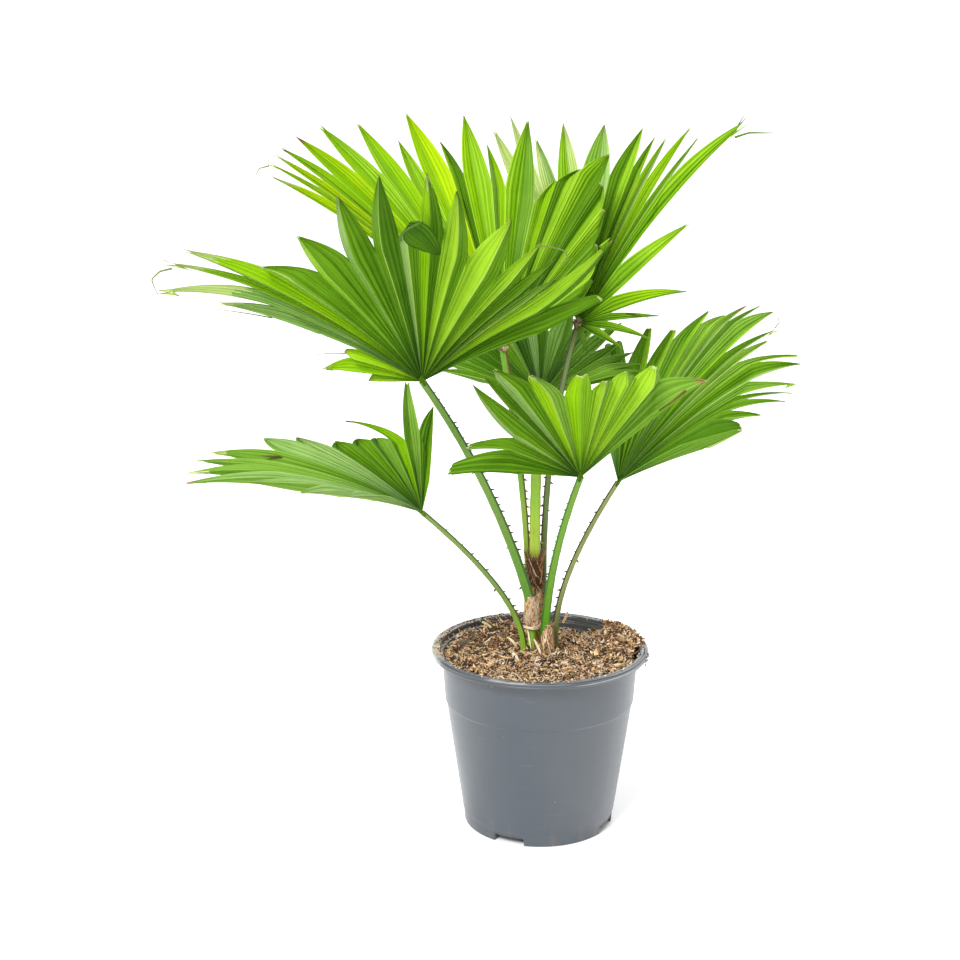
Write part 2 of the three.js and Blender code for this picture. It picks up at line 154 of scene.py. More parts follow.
def mesh_object(name, points, faces, finishes, pick=None, maps=None, smooth=True, weld=0):
    """One mesh at the origin from an array of points (mm) and an array of faces. pick is the
    finish of each face or of each equal run of faces, maps gives a name and a pair of numbers
    per point, and weld (metres) joins points closer than that."""
    mesh = bpy.data.meshes.new(name)
    mesh.vertices.add(points.size // 3)
    mesh.vertices.foreach_set("co", (points * 0.001).ravel())
    mesh.loops.add(faces.size)
    mesh.loops.foreach_set("vertex_index", faces.ravel())
    mesh.polygons.add(len(faces))
    mesh.polygons.foreach_set("loop_start", np.arange(len(faces)) * faces.shape[1])
    mesh.update(calc_edges=True)
    for finish in finishes:
        mesh.materials.append(finish)
    if pick is not None:
        mesh.polygons.foreach_set("material_index", np.repeat(pick, len(faces) // len(pick)))
    for map_name, pairs in (maps or {}).items():
        layer = mesh.uv_layers.new(name=map_name)
        layer.data.foreach_set("uv", pairs[faces.ravel()].ravel())
    mesh.polygons.foreach_set("use_smooth", np.full(len(faces), smooth))
    if weld:
        work = bmesh.new()
        work.from_mesh(mesh)
        bmesh.ops.remove_doubles(work, verts=work.verts, dist=weld)
        bmesh.ops.dissolve_degenerate(work, edges=work.edges, dist=weld)
        work.to_mesh(mesh)
        work.free()
    made = bpy.data.objects.new(name, mesh)
    scene.collection.objects.link(made)
    return made


def grid_faces(rows, columns, ring=False):
    """Four corners of each cell of a grid of points, row by row. A ring's last column meets
    its first."""
    wide = columns if ring else columns - 1
    row, column = np.meshgrid(np.arange(rows - 1), np.arange(wide), indexing="ij")
    after = (column + 1) % columns
    corners = [row * columns + column, row * columns + after,
               (row + 1) * columns + after, (row + 1) * columns + column]
    return np.stack(corners, -1).reshape(-1, 4)


def circle(count):
    """Angles evenly spaced round a circle."""
    return np.linspace(0, 2 * np.pi, count, endpoint=False)


def ring_points(x, y, r, a, z):
    """Points at height z that lie r from the upright line through (x, y), at angle a."""
    return np.stack([x + r * np.cos(a), y + r * np.sin(a), z], -1)


def unit(vectors):
    """The same directions, each one long."""
    return vectors / np.linalg.norm(vectors, axis=-1, keepdims=True)


def repeated(faces, points, count):
    """The faces of one thing for count things that have that many points each."""
    return (faces[None] + points * np.arange(count)[:, None, None]).reshape(-1, 4)


def joined(parts):
    """One array of points, one of faces and the finish of each face, from parts that give
    points, faces, and a finish for all or for each equal run of their faces."""
    start = np.cumsum([0] + [len(part[0]) for part in parts[:-1]])
    faces = [part[1] + first for part, first in zip(parts, start)]
    picks = [np.repeat(part[2], len(part[1]) // np.size(part[2])) for part in parts]
    return np.concatenate([part[0] for part in parts]), np.concatenate(faces), np.concatenate(picks)


floor_finish = Finish("studio_white", (0.93, 0.93, 0.93), 0.9)
speckle = floor_finish.noise(floor_finish.place(), 40.0)
floor_finish.wear(colour=floor_finish.mix(speckle, (0.92, 0.92, 0.92), (0.94, 0.94, 0.94)))
floor_line = ((-FLOOR_REACH, 0), (FLOOR_REACH, 0), (FLOOR_REACH, WALL_HEIGHT))
spread = np.array([(x, y, z) for y, z in floor_line for x in (-FLOOR_REACH, FLOOR_REACH)], float)
floor = mesh_object("studio_floor", spread, grid_faces(3, 2), [floor_finish.material],
                    smooth=False)

world = bpy.data.worlds.new("white_surroundings")
world.use_nodes = True
world.node_tree.nodes["Background"].inputs["Color"].default_value = (1, 1, 1, 1)
world.node_tree.nodes["Background"].inputs["Strength"].default_value = SURROUNDINGS
scene.world = world

for light_name, kind, light_at, strength, wide in LAMPS:
    lamp = bpy.data.lights.new(light_name, kind)
    setattr(lamp, "angle" if kind == "SUN" else "size", wide)
    lamp.energy = strength
    source = bpy.data.objects.new(light_name, lamp)
    source.location = light_at
    aim = Vector(LAMPS_AIM) - source.location
    source.rotation_euler = aim.to_track_quat("-Z", "Y").to_euler()
    scene.collection.objects.link(source)

camera_data = bpy.data.cameras.new("camera")
camera_data.lens = CAMERA_LENS
camera_data.sensor_width = SENSOR_WIDTH
camera = bpy.data.objects.new("camera", camera_data)
camera.location = CAMERA_AT
camera.rotation_euler = (np.radians(CAMERA_PITCH), 0, 0)
scene.collection.objects.link(camera)
scene.camera = camera

# Pot. A round nursery pot of injection-moulded slate-grey polypropylene, 2 mm thick: a tapered
# wall with a wider collar, a rolled lip, a foot ring with four drain notches, and a base with a
# raised drain channel round the pad that it stands on.

POT_HEIGHT = 178
RIM = 105
COLLAR = 95
COLLAR_FOOT = 126
WALL_TOP = 90.6
WALL_FOOT = 74.6
FOOT_STEP = 13
FOOT = 73.2
PAD = 50
CHANNEL = 8
NOTCHES = 4
NOTCH_TURN = 245
NOTCH_HALF = 12.2
NOTCH_TOP = 7
NOTCH_EDGE = 0.25  # degrees to each side of a notch's edge where the wall steps up
POT_WALL = 2
LEDGE = 13  # how far the ledge inside lies below the rim
SPOKES = 200
CORNER_STEPS = 5  # points round each corner of the section
ZONES = (10, 16)  # the section's corners where the lip and the inside start


def inner_wall(z):
    """Inner radius of the pot at height z (mm): the wall's straight taper below the collar's
    step, the collar's straight taper above it."""
    wall = np.interp(z, [FOOT_STEP, COLLAR_FOOT], [WALL_FOOT, WALL_TOP])
    collar = np.interp(z, [COLLAR_FOOT, POT_HEIGHT - 8], [WALL_TOP, COLLAR - 1])
    return np.where(z > COLLAR_FOOT, collar, wall) - POT_WALL


def rounded(corners, radius):
    """The profile with each corner replaced by an arc-like curve: a quadratic through points
    one radius before and after the corner."""
    corners = np.asarray(corners, float)
    before = np.roll(corners, 1, 0) - corners
    after = np.roll(corners, -1, 0) - corners
    reach = np.minimum(np.linalg.norm(before, axis=1), np.linalg.norm(after, axis=1)) * 0.45
    reach = np.minimum(reach, radius)[:, None]
    start, end = (corners + unit(side) * reach for side in (before, after))
    start, middle, end = start[:, None], corners[:, None], end[:, None]
    t = np.linspace(0, 1, CORNER_STEPS)[None, :, None]
    return (start * (1 - t) ** 2 + middle * 2 * t * (1 - t) + end * t ** 2).reshape(-1, 2)


ledge = float(inner_wall(POT_HEIGHT - LEDGE))
section = [
    (PAD, 0), (PAD + 3, CHANNEL), (FOOT - 4, CHANNEL), (FOOT - 2.8, 0), (FOOT - 0.4, 0),
    (FOOT + 0.6, FOOT_STEP - 1), (WALL_FOOT, FOOT_STEP), (WALL_TOP, COLLAR_FOOT - 1.2),
    (WALL_TOP + 1.3, COLLAR_FOOT + 0.4), (COLLAR - 0.2, POT_HEIGHT - 9.4),
    (COLLAR + 0.8, POT_HEIGHT - 7), (RIM - 1.0, POT_HEIGHT - 6.4), (RIM, POT_HEIGHT - 4.6),
    (RIM, POT_HEIGHT - 0.9), (RIM - 1.2, POT_HEIGHT), (RIM - 6.4, POT_HEIGHT),
    (RIM - 8.0, POT_HEIGHT - 1.4), (RIM - 8.8, POT_HEIGHT - 6), (RIM - 11, POT_HEIGHT - 6.9),
    (ledge + 1.4, POT_HEIGHT - 12.2), (ledge, POT_HEIGHT - LEDGE),
    (float(inner_wall(COLLAR_FOOT + 0.1)), COLLAR_FOOT + 0.1),
    (float(inner_wall(COLLAR_FOOT - 2)), COLLAR_FOOT - 2),
    (float(inner_wall(FOOT_STEP)), FOOT_STEP), (FOOT - 3.5, CHANNEL + 2),
    (PAD + 1.4, CHANNEL + 2), (PAD - 1.6, 2),
]
outline = rounded(section, 0.8)
notch_edges = NOTCH_TURN + np.arange(NOTCHES) * 360 / NOTCHES
edge_turns = (notch_edges[:, None] + np.array([-1, 1]) * NOTCH_HALF)[:, :, None]
edge_turns = (edge_turns + np.array([-NOTCH_EDGE, NOTCH_EDGE])).ravel() % 360
turns = np.sort(np.concatenate([np.arange(SPOKES) * (360 / SPOKES), edge_turns]))
off_notch = np.abs((turns[:, None] - notch_edges + 180) % 360 - 180).min(1)
cut = (off_notch < NOTCH_HALF)[:, None]
ring_r, ring_z = outline[:, 0][None], outline[:, 1][None]
in_foot = (ring_r > PAD + 10) & (ring_z < NOTCH_TOP)
ring_z = np.where(cut & in_foot, NOTCH_TOP + 0.02 * ring_z, ring_z)
wobble = 1 + 0.0012 * np.sin(np.radians(turns * 2 + 40))[:, None]
heading = np.radians(turns)[:, None]
shell = ring_points(0, 0, ring_r * wobble, heading, ring_z + 0 * heading)
sides, around = len(turns), len(outline)
shell_faces = grid_faces(sides + 1, around) % (sides * around)
shell_points = np.concatenate([shell.reshape(-1, 3), [[0, 0, 0], [0, 0, POT_WALL]]])
spoke = np.arange(sides)
under_in = spoke * around
upper_in = spoke * around + around - 1
pad_faces = np.stack([np.roll(under_in, -1), under_in, np.full(sides, sides * around)], -1)
base_faces = np.stack([upper_in, np.roll(upper_in, -1), np.full(sides, sides * around + 1)], -1)


def plastic(name, dark, light, lip):
    """Scuffed polypropylene: clouds between two shades, pale scratches, dust specks, mud near
    the floor, and rings of painted shade and painted highlight whose strength is lip."""
    made = Finish(name, light, 0.5,
                  {"Specular IOR Level": 0.8, "Coat Weight": 0.4, "Coat Roughness": 0.16})
    at = made.place()
    cloud = made.noise(at, 9.0, 4.0)
    drift = made.noise(made.place((1, 1, 0.25)), 60.0, 4.0)
    grain = made.noise(at, 1400.0, 2.0)
    scratch = made.noise(made.place((1, 1, 9)), 45.0, 5.0, 0.7)
    height = made.axis(at, 2)
    left = made.axis(at, 0)
    out = made.node("ShaderNodeVectorMath", {"operation": "LENGTH"}, made.place((1, 1, 0)), out=1)
    turned_profile = out * 430.0 + height * 800.0
    ring = made.noise(made.node("ShaderNodeCombineXYZ", {}, turned_profile, left * 7.0), 1.0, 2.0)
    specks = made.node("ShaderNodeTexVoronoi", {"feature": "F1"}, Vector=at, Scale=62.0)
    speck = (made.noise(at, 21.0) * 0.3 - 0.128 - specks).above(0.0, 0.012)
    tint = made.mix(cloud.above(0.3, 0.4), dark, light)
    tint = made.mix(scratch.above(0.6, 0.2) * 0.35, tint, (0.19, 0.2, 0.21))
    # Painted shade and painted highlight: dark rings and pale rings round the lip, the pale ones
    # broken up by drift.
    tint = made.mix((0.5 - ring).above(0.0, 0.05) * lip, tint, (0.018, 0.022, 0.027))
    tint = made.mix((ring - 0.56).above(0.0, 0.05) * lip * drift, tint, (0.42, 0.44, 0.45))
    dusty = (-0.089 - left).above(0.0, 0.012) * drift.above(0.36, 0.2) * lip
    tint = made.mix(dusty * 0.7, tint, (0.5, 0.49, 0.44))
    muddy = (0.03 - height).above(0.0, 0.03) * drift.above(0.52, 0.14)
    tint = made.mix(muddy * 0.6, tint, (0.13, 0.105, 0.08))
    tint = made.mix(speck * 0.8, tint, (0.55, 0.53, 0.48))
    return made.wear(colour=tint, roughness=0.4 + cloud * 0.16 + scratch.above(0.5, 0.3) * 0.12,
                     height=grain * 0.35 + drift * 0.6 + speck, depth=0.0003)


pot_finishes = [
    plastic("pot_plastic", (0.033, 0.044, 0.059), (0.048, 0.061, 0.078), 0.0),
    plastic("pot_lip", (0.03, 0.038, 0.048), (0.06, 0.073, 0.087), 0.9),
    # The inside: the same plastic with painted shade, far darker than the outside.
    plastic("pot_inside_painted_shade", (0.008, 0.01, 0.012), (0.018, 0.022, 0.026), 0.2),
]
triangles = np.concatenate([pad_faces, base_faces])
quads = shell_faces[:, ::-1]
split_quads = np.concatenate([quads[:, [0, 1, 2]], quads[:, [0, 2, 3]]])
# The inner wall and the base inside take the finish with painted shade.
pot_zone = np.digitize(np.arange(around - 1) // CORNER_STEPS, ZONES)
pot_pick = np.concatenate([np.tile(pot_zone, sides * 2), np.repeat([0, 2], sides)])
pot = mesh_object("nursery_pot", shell_points, np.concatenate([split_quads, triangles]),
                  pot_finishes, pick=pot_pick, weld=1e-6)
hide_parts("pot")
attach(pot, "root")

# Compost. Moist coir chips and husk fibre, tan to nearly black, pressed in by hand to just
# under the rim, heaped over it on the right and sunk at the back right, with crumbs left on
# the lip.

LEVEL = 170
HEAP = 7
SINK = 9
MOUND = 4
SPREAD = 30
SPAN = 92  # radius over which loose bits are scattered
BED_RINGS = 90
BED_SPOKES = 220
SKIRT_RINGS = 6
CHIPS = 9000
HAIRS = 1700
SHREDS = 520
CRUMBS = 460
HANGING = 26  # damp crumbs that hang under the lip at the right
FINES = 5600
BALL_RINGS = 20
BALL_SPOKES = 30


def hill(x, y, at_x, at_y):
    """A round bump: one at its centre, falling as the bell curve of radius SPREAD."""
    return np.exp(-((x - at_x) ** 2 + (y - at_y) ** 2) / SPREAD ** 2)


def lumps(x, y, size, seed):
    """Smooth uneven ground between -1 and 1: the product and sum of sines along turned axes,
    each about size mm long."""
    rng = np.random.default_rng(seed)
    total = 0
    for share in (1.0, 0.55, 0.3):
        turn, push_a, push_b = rng.uniform(0, 2 * np.pi, 3)
        u = (x * np.cos(turn) + y * np.sin(turn)) * 2 * np.pi / size
        v = (y * np.cos(turn) - x * np.sin(turn)) * 2 * np.pi / size
        total = total + share * np.sin(u + push_a + np.sin(v * 0.7)) * np.sin(v + push_b)
        size = size * 0.47
    return total / 1.4


def compost_height(x, y):
    """Height in mm: the level, heaped right, sunk back right, raised round the stems, with
    the same broad lumps as the solid."""
    broad = np.sin(x * 0.19 + 1.3) * np.cos(y * 0.23) + np.sin((x + y) * 0.31) * 0.6
    return (LEVEL + HEAP * hill(x, y, 88, 2) - SINK * hill(x, y, 38, 84)
            + MOUND * hill(x, y, 0, 0) + 2 * broad)


CLODS = [  # x, y, radius and height of clods, and of the hollow beside them
    (-62, 42, 12, 4), (-46, 64, 9, 4), (-20, 58, 10, 5), (-74, 12, 12, 3),
    (-34, 14, 8, -9), (-54, 52, 4, -4), (78, 44, 18, 8), (84, 20, 15, 3), (52, -10, 16, -3),
]


def ground(x, y):
    """The compost's real surface in mm: compost_height with lumps about 20 mm and 7 mm across,
    and clods that are level on top and steep at the side, like the bell curve's fourth power."""
    z = compost_height(x, y) + 2.3 * lumps(x, y, 21, 3) + 2.4 * lumps(x, y, 8, 4)
    for clod_x, clod_y, wide, tall in CLODS:
        z = z + tall * np.exp(-(((x - clod_x) ** 2 + (y - clod_y) ** 2) / wide ** 2) ** 2)
    return z


bed_turn = circle(BED_SPOKES)[None]
bed_out = np.linspace(0, 1, BED_RINGS)[:, None] ** 0.8
bed_edge = inner_wall(np.full_like(bed_turn, 166.0)) - 0.6
bed_r = bed_out * bed_edge
bed_z = ground(bed_r * np.cos(bed_turn), bed_r * np.sin(bed_turn)) - 0.8
skirt_z = np.append(np.linspace(150, 12, SKIRT_RINGS), 12)[:, None] + 0 * bed_turn
skirt_r = (inner_wall(skirt_z) - 0.8) * (np.arange(SKIRT_RINGS + 1) < SKIRT_RINGS)[:, None]
bed_r, bed_z = np.concatenate([bed_r, skirt_r]), np.concatenate([bed_z, skirt_z])
bed = ring_points(0, 0, bed_r, bed_turn, bed_z)
bed_faces = grid_faces(len(bed), BED_SPOKES, ring=True)

soil_finish = Finish("wet_coir", (0.05, 0.03, 0.018), 0.95)
soil_at = soil_finish.place()
crumb = soil_finish.noise(soil_at, 420.0, 6.0, 0.7)
patch = soil_finish.noise(soil_at, 60.0, 3.0)
soil = soil_finish.mix(crumb.above(0.38, 0.25), (0.012, 0.007, 0.005), (0.08, 0.045, 0.024))
soil = soil_finish.mix(patch.above(0.55, 0.2) * crumb.above(0.5, 0.2), soil, (0.22, 0.13, 0.07))
soil_finish.wear(colour=soil, roughness=0.85 + crumb * 0.1, height=crumb, depth=0.0015)
bed_piece = mesh_object("compost_bed", bed, bed_faces[:, ::-1], [soil_finish.material], weld=1e-6)
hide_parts("compost")
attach(bed_piece, "root")


def turned(rng, count, tilt):
    """count random frames lying mostly flat: across, along and up, each a unit vector. Along
    is spun freely, then tipped by up to about tilt radians."""
    spin = rng.uniform(0, 2 * np.pi, count)
    tip = rng.normal(0, tilt, count)
    lean = rng.normal(0, tilt, count)
    along = np.stack([np.cos(spin) * np.cos(tip), np.sin(spin) * np.cos(tip), np.sin(tip)], -1)
    flat = np.stack([-np.sin(spin), np.cos(spin), 0 * spin], -1)
    up = np.cross(along, flat)
    across = flat * np.cos(lean)[:, None] + up * np.sin(lean)[:, None]
    return across, along, np.cross(across, along)


def scattered(rng, count):
    """Points spread evenly over the compost, in mm."""
    r = SPAN * np.sqrt(rng.uniform(0, 1, count))
    a = rng.uniform(0, 2 * np.pi, count)
    return r * np.cos(a), r * np.sin(a)


def above_ground(rng, count, low, high):
    """Scattered points from low to high mm above the compost."""
    x, y = scattered(rng, count)
    return np.stack([x, y, ground(x, y) + rng.uniform(low, high, count)], -1)


def chips(rng, at, length, width, thick, tilt):
    """Flakes: each a six-sided plate, longer than wide, uneven, with a top and an underside.
    Corner k is at angle 60k on an ellipse, pulled in or out at random."""
    count = len(at)
    across, along, up = turned(rng, count, tilt)
    corner = np.arange(6) * np.pi / 3
    pull = rng.uniform(0.55, 1.15, (count, 6))
    a = (np.cos(corner) * pull) * length[:, None] / 2
    b = (np.sin(corner) * pull) * width[:, None] / 2
    bend = rng.uniform(-0.3, 0.3, (count, 1)) * a ** 2 / length[:, None] * 2
    flat = at[:, None] + a[..., None] * along[:, None] + b[..., None] * across[:, None]
    lift = (thick[:, None] / 2)[..., None] * up[:, None]
    flat = flat + bend[..., None] * up[:, None]
    points = np.concatenate([flat + lift, flat - lift], 1)
    top = np.array([[0, 1, 2, 3], [0, 3, 4, 5]])
    low = np.array([[9, 8, 7, 6], [11, 10, 9, 6]])
    wall = np.array([[k + 6, (k + 1) % 6 + 6, (k + 1) % 6, k] for k in range(6)])
    return points.reshape(-1, 3), repeated(np.concatenate([top, low, wall]), 12, count)


def tubes(lines, thick, flat=1.0, sides=3, up=(0, 0, 1)):
    """Closed tubes along lines (count, steps, 3) in mm, thick (count, steps) wide. Each ring is
    an ellipse square to the line, flat times as deep towards up as it is wide. The ends shrink
    to a point."""
    lines = np.concatenate([lines[:, :1], lines, lines[:, -1:]], 1)
    thick = np.pad(thick, ((0, 0), (1, 1)))
    along = np.gradient(lines, axis=1)
    along = along / (np.linalg.norm(along, axis=-1, keepdims=True) + 1e-9)
    up = np.broadcast_to(np.asarray(up, float), (lines.shape[0], lines.shape[1] - 2, 3))
    up = np.concatenate([up[:, :1], up, up[:, -1:]], 1)
    across = np.cross(along, up)
    across = across / (np.linalg.norm(across, axis=-1, keepdims=True) + 1e-9)
    out = np.cross(across, along)
    a = np.arange(sides)[None, None, :, None] * 2 * np.pi / sides
    ring = np.cos(a) * across[:, :, None] + np.sin(a) * out[:, :, None] * flat
    points = lines[:, :, None] + thick[:, :, None, None] / 2 * ring
    steps = lines.shape[1]
    one = grid_faces(steps, sides, ring=True)[:, ::-1]
    return points.reshape(-1, 3), repeated(one, steps * sides, len(lines))


def fibres(rng, at, length, thick, curl, tilt):
    """Bent hairs: each a three-sided tube of seven rings along an arc that turns by curl."""
    count = len(at)
    across, along, up = turned(rng, count, tilt)
    t = np.linspace(-0.5, 0.5, 7)[None]
    bend = curl[:, None]
    a = np.sin(t * bend) / bend * length[:, None]
    b = (1 - np.cos(t * bend)) / bend * length[:, None]
    c = rng.normal(0, 0.25, (count, 1)) * np.sin(t * 5) * length[:, None] * 0.3
    line = at[:, None] + (a[..., None] * along[:, None] + b[..., None] * across[:, None]
                          + c[..., None] * up[:, None])
    up = np.broadcast_to(up[:, None], line.shape)
    return tubes(line, thick[:, None] * (1 - 2.4 * t ** 2), up=up)


def loose_finish(name, dark, light, streak=0.0006):
    """Coir in one colour, darker and lighter by patches and streaked along the fibre."""
    made = Finish(name, light, 0.85)
    fine = made.noise(made.place(), 900.0, 4.0, 0.6)
    wide = made.noise(made.place(), 140.0, 2.0)
    share = fine * 0.6 + wide * 0.6 - 0.12
    return made.wear(colour=made.mix(share.above(0.2, 0.5), dark, light),
                     roughness=0.75 + wide * 0.2, height=fine, depth=streak)


def dark_share(x, y):
    """Share of dark coir: most at the back left, some behind the stems and at the right."""
    return 0.88 * hill(x, y, -52, 36) + 0.5 * hill(x, y, -14, 62) + 0.43 * hill(x, y, 80, 44)


coir_finishes = [
    loose_finish("coir_tan", (0.3, 0.145, 0.045), (0.95, 0.62, 0.31)),
    loose_finish("coir_brown", (0.08, 0.031, 0.008), (0.34, 0.16, 0.052)),
    loose_finish("coir_dark", (0.014, 0.006, 0.002), (0.06, 0.027, 0.009)),
    loose_finish("coir_blush", (0.46, 0.3, 0.2), (1.0, 0.84, 0.67)),
    loose_finish("coir_ochre", (0.3, 0.15, 0.05), (0.68, 0.42, 0.18)),
    loose_finish("coir_straw", (0.36, 0.27, 0.1), (0.86, 0.73, 0.44)),
    loose_finish("coir_grey", (0.035, 0.021, 0.01), (0.17, 0.11, 0.058), 0.0012),
]
chance = np.random.default_rng(11)
chip_x, chip_y = scattered(chance, CHIPS)
spill = chance.uniform(0, 1, CHIPS) < 0.1  # part of the chips lie on the lip at the right
spill_turn = np.radians(chance.uniform(0, 47, CHIPS))
spill_out = chance.triangular(84, 94, 104, CHIPS)
chip_x = np.where(spill, spill_out * np.cos(spill_turn), chip_x)
chip_y = np.where(spill, spill_out * np.sin(spill_turn), chip_y)
chip_long = chance.gamma(3.0, 1.05, CHIPS) + 1.0
chip_wide = chip_long * chance.uniform(0.17, 0.5, CHIPS)
chip_thick = chance.uniform(0.25, 0.8, CHIPS)
chip_z = ground(chip_x, chip_y) + chance.uniform(-0.9, 1.7, CHIPS)
chip_out = np.hypot(chip_x, chip_y)
pile = 7 * np.sqrt(np.clip((104 - chip_out) / 12, 0, 1))
pile = pile * np.clip(1.45 - np.abs(np.degrees(np.arctan2(chip_y, chip_x)) - 25) / 15, 0, 1)
lip_z = POT_HEIGHT + 0.5 + pile * chance.uniform(0, 1, CHIPS) ** 0.5
chip_at = np.stack([chip_x, chip_y, np.where(chip_out > SPAN, lip_z, chip_z)], -1)
chip_points, chip_faces = chips(chance, chip_at, chip_long, chip_wide, chip_thick, 0.55)
chip_pick = chance.choice(7, CHIPS, p=[0.27, 0.25, 0.13, 0.2, 0.05, 0.08, 0.02])
# Painted shade: chips that lie lower than the broad ground, in its hollows, are more often dark.
relief = ground(chip_x, chip_y) - compost_height(chip_x, chip_y)
hollow = np.clip(0.3 - 0.21 * relief - 0.5 * lumps(chip_x, chip_y, 34, 9), 0.02, 0.9)
shaded_in_hollow = chance.uniform(0, 1, CHIPS) < hollow
chip_pick = np.where(shaded_in_hollow, chance.choice([2, 2, 1], CHIPS), chip_pick)
dark_part = chance.uniform(0, 1, CHIPS) < dark_share(chip_x, chip_y)
chip_pick = np.where(dark_part, chance.choice([6, 6, 1, 1, 2, 2, 0], CHIPS), chip_pick)
chip_piece = mesh_object("compost_chips", chip_points, chip_faces[:, ::-1], coir_finishes,
                         pick=chip_pick, smooth=False)
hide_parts("compost")
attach(chip_piece, "root")

hair_points, hair_faces = fibres(
    chance, above_ground(chance, HAIRS, 0.2, 3.0), chance.gamma(3.0, 2.2, HAIRS) + 2.5,
    chance.uniform(0.18, 0.5, HAIRS), chance.uniform(0.4, 2.6, HAIRS), 0.4)
hair_pick = chance.choice([0, 3, 1, 5], HAIRS, p=[0.4, 0.25, 0.2, 0.15])
hair_piece = mesh_object("compost_fibres", hair_points, hair_faces, coir_finishes,
                         pick=hair_pick, weld=1e-7)
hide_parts("compost")
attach(hair_piece, "root")

shreds = chips(chance, above_ground(chance, SHREDS, 0.6, 2.4), chance.uniform(6, 13, SHREDS),
               chance.uniform(0.8, 1.9, SHREDS), np.full(SHREDS, 0.4), 0.5)
shred_pick = chance.choice([0, 3, 5, 1, 6], SHREDS, p=[0.35, 0.3, 0.2, 0.1, 0.05])

crumb_turn = np.radians(np.concatenate([chance.uniform(96, 196, CRUMBS // 2),
                                        chance.uniform(0, 360, CRUMBS - CRUMBS // 2)]))
crumb_out = chance.uniform(94.5, 103, CRUMBS)
crumb_z = np.interp(crumb_out, [94.5, 97, 98.6], [171.5, 177.6, 178.3])
hang = np.arange(CRUMBS) < HANGING
crumb_turn = np.where(hang, np.radians(chance.uniform(-20, -2, CRUMBS)), crumb_turn)
crumb_out = np.where(hang, 105.2, crumb_out)
crumb_z = np.where(hang, chance.uniform(169, 177, CRUMBS), crumb_z)
crumb_at = ring_points(0, 0, crumb_out, crumb_turn, crumb_z)
crumbs = chips(chance, crumb_at, chance.uniform(0.9, 2.6, CRUMBS), chance.uniform(0.7, 1.6, CRUMBS),
               chance.uniform(0.4, 1.0, CRUMBS), 0.5)
crumb_pick = chance.choice([0, 3, 5, 1, 2, 6], CRUMBS, p=[0.25, 0.15, 0.15, 0.2, 0.15, 0.1])
crumb_pick = np.where(hang, 2, crumb_pick)

stray_ends = np.array([  # both ends of the shreds that stand out: x, y and height
    [(26, 76, 175), (31, 77, 187)], [(-56, 53, 184), (-47, 50, 179)],
    [(-31, 16, 181), (-22, 8, 173)], [(-27, -26, 180), (-21, -30, 172)],
    [(-5, 46, 172), (4, 50, 184)], [(20, -48, 172), (29, -52, 175)],
], float)
t = np.linspace(0, 1, 7)[None, :, None]
stray_lines = stray_ends[:, :1] * (1 - t) + stray_ends[:, 1:] * t
stray_lines = stray_lines + np.sin(np.pi * t) * np.array([0.8, 0, 0.6])
stray_wide = np.array([2.7, 2.6, 2.4, 2.8, 1.6, 1.8])[:, None] * (1 - 0.5 * np.abs(t[..., 0] - 0.4))
stray_points, stray_faces = tubes(stray_lines, stray_wide, 0.25, 6, up=(0, -1, 0.4))

ball_at = np.array([  # clods of grey coir, half sunk at the back left
    [(-62, 42)], [(-46, 64)], [(-20, 58)], [(-74, 14)], [(-49, 32)], [(-70, 54)], [(-34, 50)],
    [(-58, 20)], [(-8, 70)], [(-80, 34)],
])
ball = chance.uniform(0, 1, (len(ball_at), 1, 4))
a = circle(BALL_SPOKES)[None, None]
b = np.linspace(0, np.pi, BALL_RINGS)[None, :, None]
dent = 0.34 * lumps(a * 3 + 20 * ball[..., 1:2], b * 3, 3.5, 5)
dent = dent * np.sin(b) + 0.1 * np.sin(a * 2 + 6 * ball[..., 2:3]) * np.sin(b)
dent = 1 + dent + 0.07 * lumps(a * 40, b * 40, 14, 6) * np.sin(b)
ball_r = 4.2 + 3.2 * ball[..., 0:1]
balls = np.stack([
    ball_at[..., 0:1] + ball_r * dent * np.sin(b) * np.cos(a) * 1.2,
    ball_at[..., 1:2] + ball_r * dent * np.sin(b) * np.sin(a),
    ground(ball_at[..., 0:1], ball_at[..., 1:2]) - 2.4 + 0.8 * ball_r * dent * np.cos(b)], -1)
ball_faces = grid_faces(BALL_RINGS, BALL_SPOKES, ring=True)
ball_faces = repeated(ball_faces, BALL_RINGS * BALL_SPOKES, len(ball_at))

fine_at = above_ground(chance, FINES, 0.0, 2.2)
fines = chips(chance, fine_at, chance.uniform(1.2, 3.4, FINES), chance.uniform(0.35, 1.1, FINES),
              chance.uniform(0.2, 0.6, FINES), 0.8)
fine_pick = chance.choice(7, FINES, p=[0.22, 0.25, 0.18, 0.19, 0.05, 0.08, 0.03])
dark_part = chance.uniform(0, 1, FINES) < dark_share(fine_at[:, 0], fine_at[:, 1])
fine_pick = np.where(dark_part, chance.choice([6, 1, 2], FINES), fine_pick)
points, faces, pick = joined([
    (*shreds, shred_pick), (*crumbs, crumb_pick), (*fines, fine_pick),
    (stray_points, stray_faces[:, ::-1], [0, 5, 5, 3, 0, 0]), (balls.reshape(-1, 3), ball_faces, 6),
])
shred_piece = mesh_object("compost_shreds", points, faces[:, ::-1], coir_finishes, pick=pick,
                          smooth=False, weld=1e-7)
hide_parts("compost")
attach(shred_piece, "root")

# Stems. Three short stems wrapped in the dry brown fibre net of old leaf bases: crossed flat
# strands over a core, frayed into bristles at the top. The left one is tied with pale twine
# above a green stub and a dry strip of old leaf base.

